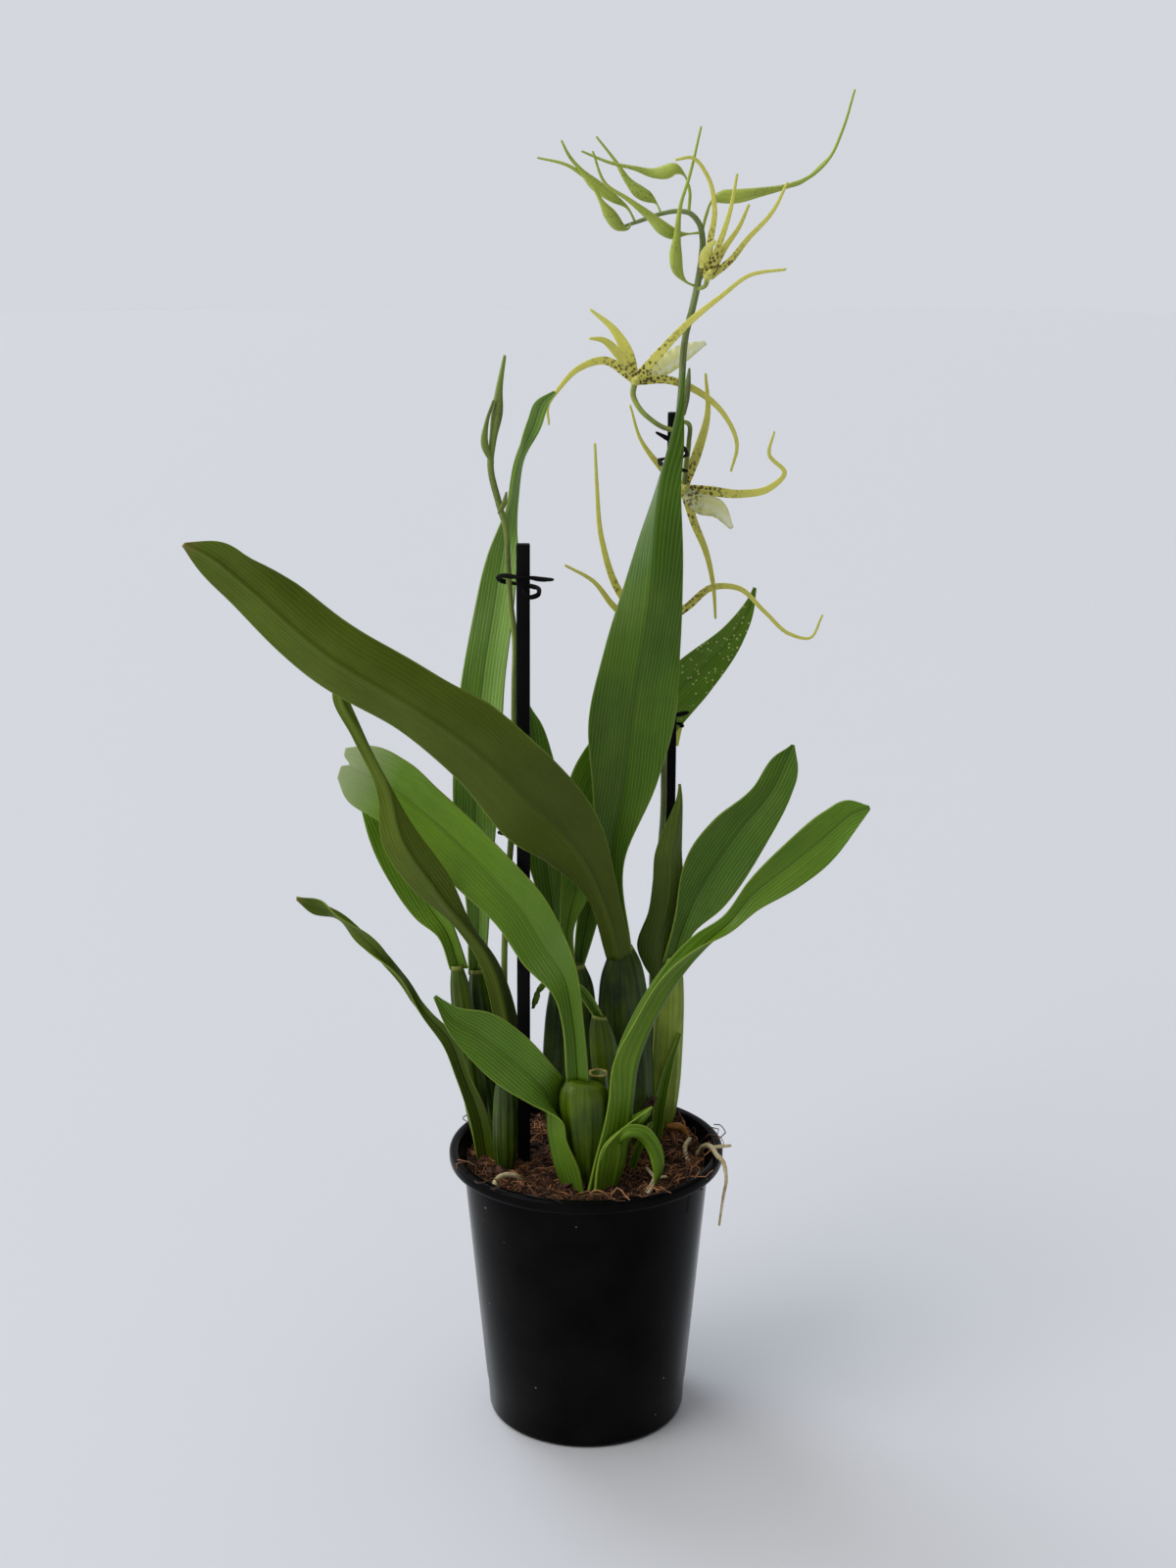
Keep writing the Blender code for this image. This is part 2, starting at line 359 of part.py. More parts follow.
def solid(name, verts, faces, slot):
    """One closed mesh object from points in millimetres."""
    mesh = bpy.data.meshes.new(name)
    mesh.from_pydata([tuple(float(c) * MM for c in v) for v in verts], [], faces)
    bm = bmesh.new()
    bm.from_mesh(mesh)
    bmesh.ops.recalc_face_normals(bm, faces=bm.faces)
    bm.to_mesh(mesh)
    bm.free()
    mesh.shade_smooth()
    mesh.set_sharp_from_angle(angle=radians(50))
    obj = bpy.data.objects.new(name, mesh)
    bpy.context.scene.collection.objects.link(obj)
    mesh.materials.append(material(slot))
    return obj


def combine(body, others, operation, solver="EXACT"):
    """Boolean of body with every other solid; the others are used up."""
    for other in others:
        step = body.modifiers.new(operation.lower(), "BOOLEAN")
        step.operation = operation
        step.object = other
        step.solver = solver
    shape = body.evaluated_get(bpy.context.evaluated_depsgraph_get())
    mesh = bpy.data.meshes.new_from_object(shape)
    slot = body.data.materials[0]
    body.modifiers.clear()
    body.data = mesh
    mesh.name = body.name
    mesh.materials.clear()
    mesh.materials.append(slot)
    for face in mesh.polygons:
        face.material_index = 0
    for other in others:
        bpy.data.objects.remove(other)
    return body


def smooth(rows, count):
    """Points of a smooth curve through the rows; the first three columns are x, y, z."""
    rows = np.array(rows, float)
    gaps = np.linalg.norm(np.diff(rows[:, :3], axis=0), axis=1)
    along = np.concatenate([[0.0], np.cumsum(gaps)])
    slopes = np.gradient(rows, along, axis=0)
    place = np.interp(np.linspace(0, len(rows) - 1, count), range(len(rows)), along)
    k = np.clip(np.searchsorted(along, place, side="right") - 1, 0, len(along) - 2)
    span = (along[k + 1] - along[k])[:, None]
    t = (place - along[k])[:, None] / span
    return ((1 + 2 * t) * (1 - t) ** 2 * rows[k] + t * (1 - t) ** 2 * span * slopes[k]
            + t * t * (3 - 2 * t) * rows[k + 1] + t * t * (t - 1) * span * slopes[k + 1])


def unit(vectors):
    return vectors / np.maximum(np.linalg.norm(vectors, axis=-1, keepdims=True), 1e-9)


def blade(name, stations, slot, thick, count=None, across=(-1, -0.55, 0, 0.55, 1)):
    """A folded leaf blade of even thickness between two margins, split alike on both faces."""
    rows = [(*middle, *step, sink) for middle, step, sink in stations]
    count = count or int(1.5 * len(rows)) + 1
    rows = smooth(rows, count)
    middle, step, sink = rows[:, :3], rows[:, 3:6], rows[:, 6]
    heading = unit(np.gradient(middle, axis=0))
    under = unit(np.cross(heading, step))
    sheet = np.stack([middle + t * step + under * (sink * (1 - abs(t) ** 1.5))[:, None]
                      for t in across], axis=1)
    facing = unit(np.cross(np.gradient(sheet, axis=0), np.gradient(sheet, axis=1)))
    n, m = sheet.shape[:2]
    front = (sheet + facing * thick / 2).reshape(-1, 3)
    back = (sheet - facing * thick / 2).reshape(-1, 3)
    verts = np.concatenate([front, back])
    faces = []
    for i in range(n - 1):
        for j in range(m - 1):
            a, b = i * m + j, (i + 1) * m + j
            faces += [(a, b, b + 1), (a, b + 1, a + 1)]
            a, b = a + n * m, b + n * m
            faces += [(a, b + 1, b), (a, a + 1, b + 1)]
    rim = ([(i * m, (i + 1) * m) for i in range(n - 1)]
           + [((i + 1) * m + m - 1, i * m + m - 1) for i in range(n - 1)]
           + [(j + 1, j) for j in range(m - 1)]
           + [((n - 1) * m + j, (n - 1) * m + j + 1) for j in range(m - 1)])
    faces += [(a, a + n * m, b + n * m, b) for a, b in rim]
    return solid(name, verts, faces, slot)


def leaf_foot_hole(name):
    """Cutter that leaves a gap all round the foot of a leaf."""
    stations = LEAVES[name][:3]
    (x, y, z), step, sink = stations[0]
    wider = 1 + 1.3 * GAP / np.linalg.norm(step)
    foot = ((x, y, z - 1.5 * GAP), step, sink)
    return blade("hole", (foot, *stations[1:]), "potting_mix", LEAF_THICK + 2.6 * GAP, count=5,
                 across=(-wider, -0.55, 0, 0.55, wider))


def rod(name, rows, slot, sides=6, thick=None, face=(0, -1, 0.05), count=None, grow=0.0):
    """A tapering rod; with a thickness it is flattened and its flat side looks along face."""
    rows = smooth(rows, count or 2 * len(rows) - 1)
    middle, radius = rows[:, :3], np.maximum(rows[:, 3], 0.4) + grow
    heading = unit(np.gradient(middle, axis=0))
    middle[0] -= heading[0] * grow
    middle[-1] += heading[-1] * grow
    face = np.broadcast_to(np.array(face, float), middle.shape)
    flat = unit(face - heading * np.sum(face * heading, axis=1, keepdims=True))
    side = np.cross(heading, flat)
    depth = np.minimum(radius, thick / 2) if thick else radius
    depth = np.maximum(depth, 0.45)
    turns = [2 * pi * (j + 0.5) / sides for j in range(sides)]
    verts = np.stack([middle + side * (radius * cos(a))[:, None] + flat * (depth * sin(a))[:, None]
                      for a in turns], axis=1).reshape(-1, 3)
    n = len(rows)
    faces = [(i * sides + j, i * sides + (j + 1) % sides, (i + 1) * sides + (j + 1) % sides,
              (i + 1) * sides + j) for i in range(n - 1) for j in range(sides)]
    faces += [tuple(range(sides)), tuple(range((n - 1) * sides, n * sides))]
    return solid(name, verts, faces, slot)


def seated(rows, stem=SPIKE_TALL):
    """Stalk rows whose first point is moved to stand a gap off the stem it grows from."""
    stem = smooth(stem, 400)
    start = np.array(rows[0][:3], float)
    nearest = stem[np.argmin(np.linalg.norm(stem[:, :3] - start, axis=1))]
    away, heading = unit(start - nearest[:3]), unit(np.array(rows[1][:3]) - start)
    slant = np.linalg.norm(np.cross(away, heading))
    start = nearest[:3] + away * (nearest[3] + GAP + 0.15 + slant * rows[0][3])
    return ((*start, rows[0][3]), *rows[1:])


def lathe(name, profile, sides, slot):
    """Closed solid of revolution; profile runs from the axis below to the axis above."""
    verts, faces, last = [(0, 0, profile[0][1])], [], None
    for radius, height in profile[1:-1]:
        ring = list(range(len(verts), len(verts) + sides))
        verts += [(radius * cos(2 * pi * k / sides), radius * sin(2 * pi * k / sides), height)
                  for k in range(sides)]
        for k in range(sides):
            nxt = (k + 1) % sides
            faces.append((0, ring[nxt], ring[k]) if last is None
                         else (last[k], last[nxt], ring[nxt], ring[k]))
        last = ring
    verts.append((0, 0, profile[-1][1]))
    faces += [(last[k], last[(k + 1) % sides], len(verts) - 1) for k in range(sides)]
    return solid(name, verts, faces, slot)


def pot_inner_radius(height):
    """Inside of the tapering wall."""
    slope = (BODY_TOP_RADIUS - BASE_RADIUS) / (POT_HEIGHT - LIP_HEIGHT)
    return BASE_RADIUS - WALL + slope * height


def make_pot():
    under_lip = POT_HEIGHT - LIP_HEIGHT
    outside = [(0, 0), (BASE_RADIUS - BASE_ROUND, 0), (BASE_RADIUS - 0.6, 0.8),
               (BASE_RADIUS + 0.2, BASE_ROUND), (BODY_TOP_RADIUS, under_lip),
               (RIM_RADIUS - 0.8, under_lip), (RIM_RADIUS, under_lip + 1),
               (RIM_RADIUS, POT_HEIGHT - 1.2), (RIM_RADIUS - 1.0, POT_HEIGHT)]
    inside = [(RIM_INNER_RADIUS + 0.8, POT_HEIGHT), (RIM_INNER_RADIUS, POT_HEIGHT - 0.8),
              (RIM_INNER_RADIUS - 0.4, under_lip + 1.5),
              (pot_inner_radius(under_lip), under_lip - 1),
              (pot_inner_radius(FLOOR), FLOOR), (0, FLOOR)]
    pot = lathe("pot", outside + inside, POT_SIDES, "pot_plastic")
    drains = []
    for k in range(DRAIN_COUNT):
        angle = 2 * pi * (k + 0.5) / DRAIN_COUNT
        x, y = DRAIN_RING_RADIUS * cos(angle), DRAIN_RING_RADIUS * sin(angle)
        drains.append(rod("drain", [(x, y, -2, DRAIN_RADIUS), (x, y, FLOOR + 2, DRAIN_RADIUS)],
                          "pot_plastic", sides=12, count=2, face=(0, 1, 0)))
    return combine(pot, drains, "DIFFERENCE")


def mix_height(x, y):
    """Uneven top of the bark and coir, heaped against the rim at the back right."""
    away = (x - HEAP_PLACE[0]) ** 2 + (y - HEAP_PLACE[1]) ** 2
    heap = HEAP_RISE * np.exp(-away / (2 * HEAP_SPREAD ** 2))
    lumps = 0.8 * sin(0.31 * x + 0.4) * cos(0.27 * y - 0.9) + 0.6 * sin(0.53 * y + 0.21 * x)
    return MIX_LEVEL + heap + lumps


def make_mix():
    bottom = FLOOR + GAP
    edge = MIX_RINGS[-1]
    shoulder = POT_HEIGHT - LIP_HEIGHT - 10
    verts = [(0, 0, mix_height(0, 0))]
    rings = [[(r * cos(a), r * sin(a), mix_height(r * cos(a), r * sin(a)))
              for a in np.arange(POT_SIDES) * 2 * pi / POT_SIDES] for r in MIX_RINGS]
    for radius, height in ((min(edge, pot_inner_radius(shoulder) - GAP), shoulder),
                           (pot_inner_radius(bottom) - GAP, bottom)):
        rings.append([(radius * cos(a), radius * sin(a), height)
                      for a in np.arange(POT_SIDES) * 2 * pi / POT_SIDES])
    faces = [(0, 1 + k, 1 + (k + 1) % POT_SIDES) for k in range(POT_SIDES)]
    for i, ring in enumerate(rings):
        verts += ring
        if i:
            a, b = 1 + (i - 1) * POT_SIDES, 1 + i * POT_SIDES
            faces += [(a + k, b + k, b + (k + 1) % POT_SIDES, a + (k + 1) % POT_SIDES)
                      for k in range(POT_SIDES)]
    faces.append(tuple(range(len(verts) - POT_SIDES, len(verts))))
    mix = solid("potting_mix", verts, faces, "potting_mix")
    holes = [stake("hole", *ends, STAKE_SIDE + 2 * GAP) for ends in STAKES.values()]
    holes += [bulb("hole", *shape, grow=GAP + 0.1) for shape in BULBS.values()]
    holes += [rod("hole", rows, "potting_mix", grow=GAP + 0.1) for rows in (SPIKE_TALL, SPIKE_YOUNG)]
    holes += [leaf_foot_hole(name) for name in LEAVES_FROM_MIX]
    holes.append(rod("hole", LEAF_STUB, "potting_mix", sides=8, grow=GAP + 0.1))
    holes += [rod("hole", row, "potting_mix", grow=GAP + 0.15)
              for rows in ROOTS.values() for row in rows]
    return combine(mix, holes, "DIFFERENCE", solver="MANIFOLD")


def stake(name, foot, top, side):
    """Straight square bar; the hole cutter uses a larger side and the same ends."""
    foot, top = np.array(foot, float), np.array(top, float)
    if side > STAKE_SIDE:
        foot = foot - (0, 0, GAP)
    corners = [(-1, -1), (1, -1), (1, 1), (-1, 1)]
    verts = [end + (side / 2 * a, side / 2 * b, 0) for end in (foot, top) for a, b in corners]
    faces = [(0, 1, 2, 3), (4, 5, 6, 7)] + [(k, (k + 1) % 4, 4 + (k + 1) % 4, 4 + k) for k in range(4)]
    return solid(name, verts, faces, "stake_plastic")


BULB_OUTLINE = (              # share of the height, share of the full width
    (0.00, 0.40), (0.09, 0.46), (0.20, 0.76), (0.34, 0.96), (0.50, 1.00),
    (0.66, 0.96), (0.80, 0.84), (0.92, 0.64), (1.00, 0.42))
BULB_SIDES = 14


def bulb(name, foot, top, half_width, half_depth, ring_slope, grow=0.0, slot="bulb_green"):
    """Flattened egg with shallow ridges, narrowed at the foot and at the leaf ring."""
    foot, top = np.array(foot, float), np.array(top, float)
    verts = []
    for share, width in BULB_OUTLINE:
        centre = foot + (top - foot) * share
        centre[2] -= grow if share == 0 else -grow if share == 1 else 0
        for k in range(BULB_SIDES):
            ridge = 1.0 if k % 2 else 0.94
            a = 2 * pi * k / BULB_SIDES
            dx = (half_width * width * ridge + grow) * cos(a)
            verts.append(centre + (dx, (half_depth * width * ridge + grow) * sin(a),
                                   dx * ring_slope * share ** 4))
    rings = len(BULB_OUTLINE)
    faces = [(i * BULB_SIDES + k, i * BULB_SIDES + (k + 1) % BULB_SIDES,
              (i + 1) * BULB_SIDES + (k + 1) % BULB_SIDES, (i + 1) * BULB_SIDES + k)
             for i in range(rings - 1) for k in range(BULB_SIDES)]
    faces += [tuple(range(BULB_SIDES)), tuple(range((rings - 1) * BULB_SIDES, rings * BULB_SIDES))]
    return solid(name, verts, faces, slot)


def ball(name, centre, radius, slot):
    """Small rounded centre that holds a flower's parts together."""
    x, y, z = centre
    rows = [(x, y, z + radius * cos(pi * k / 5), max(0.5, radius * sin(pi * k / 5))) for k in range(6)]
    return rod(name, rows, slot, sides=8, face=(0, -1, 0), count=6)


def make_bloom(name, centre, body, pedicel, tepals, lip):
    middle = ball(name, centre, body, "bloom_yellow")
    parts = [rod("pedicel", seated(pedicel), "bloom_yellow")]
    parts += [rod("tepal", rows, "bloom_yellow", thick=TEPAL_THICK, count=len(rows) + 2)
              for rows in tepals]
    parts.append(rod("lip", lip, "bloom_yellow", thick=LIP_THICK, count=8))
    return combine(middle, parts, "UNION")


LEAF_SLOTS = {
    "leaf_left_arch": "leaf_dark", "leaf_right_folded": "leaf_dark", "leaf_left_folded": "leaf_dark",
    "leaf_left_twisted": "leaf_dark", "leaf_front_apical": "leaf_fresh", "leaf_far_right": "leaf_fresh",
    "leaf_small_growth": "bract_pale", "bract_curled": "leaf_fresh", "bract_tall": "bract_pale",
    "bract_sliver": "leaf_fresh", "husk_brown": "husk_brown",
}


def main():
    for obj in list(bpy.data.objects):
        bpy.data.objects.remove(obj)
    make_pot()
    make_mix()
    for name, ends in STAKES.items():
        stake(name, *ends, STAKE_SIDE)
    for name, route in TIES.items():
        rod(name, [(*p, TIE_RADIUS) for p in route], "tie_wire", face=(0, 0, 1))
    for name, shape in BULBS.items():
        slot = "bulb_fresh" if name in ("bulb_front", "bulb_small", "bulb_far_left") else "bulb_green"
        bulb(name, *shape, slot=slot)
    rod("leaf_stub", LEAF_STUB, "bulb_fresh", sides=8)
    for name, stations in LEAVES.items():
        blade(name, stations, LEAF_SLOTS.get(name, "leaf_green"),
              LEAF_THICK_BY_NAME.get(name, LEAF_THICK))
    spike = rod("spike_tall", SPIKE_TALL, "spike_green")
    combine(spike, [rod("bract", rows, "spike_green") for rows in SPIKE_TALL_BRACTS], "UNION")
    young = rod("spike_young", SPIKE_YOUNG, "bud_green")
    combine(young, [rod("bud", rows, "bud_green") for rows in SPIKE_YOUNG_BUDS], "UNION")
    for name, rows in BUDS.items():
        bud = rod(name, seated(rows), "bud_green")
        if name in BUD_SECOND_TAILS:
            combine(bud, [rod("tail", BUD_SECOND_TAILS[name], "bud_green")], "UNION")
    for name, shape in BLOOMS.items():
        make_bloom(name, **shape)
    for name, rows in ROOTS.items():
        slot = "root_orange" if name == "root_orange" else "root_white"
        root = rod(name, rows[0], slot)
        if len(rows) > 1:
            combine(root, [rod("branch", row, slot) for row in rows[1:]], "UNION")


main()
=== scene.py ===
"""Potted brassia orchid: the looks of every leaf, pseudobulb, flower, stake and the pot.

X is to the viewer's right, Y away from the viewer and Z up, with the origin at the centre of the
pot's flat underside. Tables of places are in millimetres and are turned into metres when a mesh
is laid out.
"""

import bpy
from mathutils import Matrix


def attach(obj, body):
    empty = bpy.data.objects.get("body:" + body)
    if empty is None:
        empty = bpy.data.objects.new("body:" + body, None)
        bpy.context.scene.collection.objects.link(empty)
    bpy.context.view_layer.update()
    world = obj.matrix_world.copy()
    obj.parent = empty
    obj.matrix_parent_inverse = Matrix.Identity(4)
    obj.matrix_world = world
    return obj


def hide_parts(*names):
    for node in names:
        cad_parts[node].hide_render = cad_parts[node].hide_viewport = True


bl_info = {
    "name": "Potted Brassia Orchid",
    "version": (1, 0, 0),
    "blender": (4, 5, 0),
    "location": "3D View > Sidebar > Orchid",
    "description": "Builds a spider orchid in its nursery pot, piece by piece",
    "category": "Add Mesh",
}

import random
import bpy
import bmesh
import numpy as np
from math import cos, sin, pi, radians, exp, hypot
from mathutils import Euler, Matrix, Vector, noise
from bpy.props import FloatProperty, FloatVectorProperty, IntProperty, PointerProperty
from bpy.types import Operator, Panel, PropertyGroup

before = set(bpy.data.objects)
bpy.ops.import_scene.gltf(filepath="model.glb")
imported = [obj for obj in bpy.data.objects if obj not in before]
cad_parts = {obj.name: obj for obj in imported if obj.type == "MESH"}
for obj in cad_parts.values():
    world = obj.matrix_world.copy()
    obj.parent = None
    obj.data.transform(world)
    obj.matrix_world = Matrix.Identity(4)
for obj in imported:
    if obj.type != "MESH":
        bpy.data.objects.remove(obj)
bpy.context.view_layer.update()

MM = 0.001


def srgb(code):
    """Linear colour with full alpha from an sRGB hex value."""
    parts = [int(code[i:i + 2], 16) / 255 for i in (1, 3, 5)]
    return (*[c / 12.92 if c <= 0.04045 else ((c + 0.055) / 1.055) ** 2.4 for c in parts], 1.0)


TWO_PI = 2 * pi
MERGE = 1e-6                    # distance within which points become one, in metres
SEED = 41

# Pot, by its radii and heights
LIP_HEIGHT = 6.0
BODY_TOP_RADIUS = 58.6
FLOOR = 2.0
FOOT_STEP = 16.0                # height of the faint step near the pot's foot
POT_STEPS = 144
DRAIN_RING = 35.0
DRAIN_RADIUS = 3.5
DRAIN_COUNT = 8

# Potting mix
MIX_LEVEL = 124.5
HEAP_PLACE = (34.0, 40.0)
HEAP_RISE = 17.5
HEAP_SPREAD = 11.5
MIX_EDGE = 56.4
MIX_RINGS = 90
MIX_STEPS = 260
MIX_UNDER = ((MIX_EDGE - 1.3, 112.0), (47.0, 6.0), (45.5, 2.6), (0.0, 2.6))     # radius, height
CLODS = (7.0, 1.6)              # size and height of the clods on the mix
HOLLOWS = (11.0, 1.8, 0.15)     # size and depth of the hollows, and the noise where one starts
WALL_FADE = (4.0, 0.15)         # distance from the wall over which both fade, and what is left

# Loose bark and fibres; pairs are the least and the most of a random size
CHIP_REACH = 54.0               # radius within which chips lie
CHIP_SHARES = ((0.35, 1.0), (0.4, 0.75), (0.12, 0.26))  # length, breadth and thickness
CHIP_TILT = 0.7
CHIP_REST = (-0.6, 1.4)         # height of a chip's middle over the mix
CHIP_KNOCK = 0.13               # how far its corners are out of square
CHIP_CORNER = 0.86              # how far they are rounded off
FIBRE_POINTS = 7
FIBRE_SHARES = (0.3, 1.2)
FIBRE_CURL = 2.6
FIBRE_LIFT = 3.6
FIBRE_RADII = (0.17, 0.38)
FIBRE_KINK = (-0.5, 0.6)
FIBRE_REST = 0.3                # height of its middle over the mix
CLIMBERS = 0.03                 # share of the fibres near the wall that climb it
CLIMB_NEAR = 44.0               # radius past which a fibre may climb
CLIMB_START = 50.0              # radius at which it starts to rise
CLIMB_END = 58.5                # radius at which it lies on the rim
CLIMB_TOP = 134.5               # height at which it lies there
CLIMB_REACH = 67.0              # radius at which it ends
CLIMB_STRAY = 0.7               # angle by which it strays from straight outwards

# Stakes are square bars, each given by the middle of its foot and of its top
STAKE_SIDE = 6.0
STAKES = {
    "stake_short": ((-30.3, -2.0, 22.0), (-27.9, 2.0, 420.5)),
    "stake_tall": ((38.0, 29.0, 76.0), (40.7, 53.4, 474.0)),
}

# Pseudobulbs: foot, top, half width, half depth, slope of the leaf ring along X
BULBS = {
    "bulb_front": ((1, -28, 118), (-0.8, -28.5, 177.4), 12.5, 8.5, -0.12),
    "bulb_mid_right": ((22, 14, 118), (16, 14.5, 226.6), 13.0, 8.0, 0.4),
    "bulb_right": ((37, 24.5, 120), (41, 22.5, 220.2), 7.4, 4.6, 0.25),
    "bulb_mid": ((-10, 17, 118), (-6.5, 17, 218.4), 13.2, 8.0, 0.0),
    "bulb_back_left": ((-40, 25, 118), (-52, 21.5, 214.3), 7.5, 5.5, 0.1),
    "bulb_front_left": ((-38, -12, 118), (-38, -12, 174), 6.0, 5.0, 0.0),
    "bulb_far_left": ((-49, 10, 118), (-61, 13, 219.2), 6.0, 4.8, 0.1),
    "bulb_small": ((17, -4, 118), (6, -5, 200.8), 7.5, 5.0, -0.2),
}

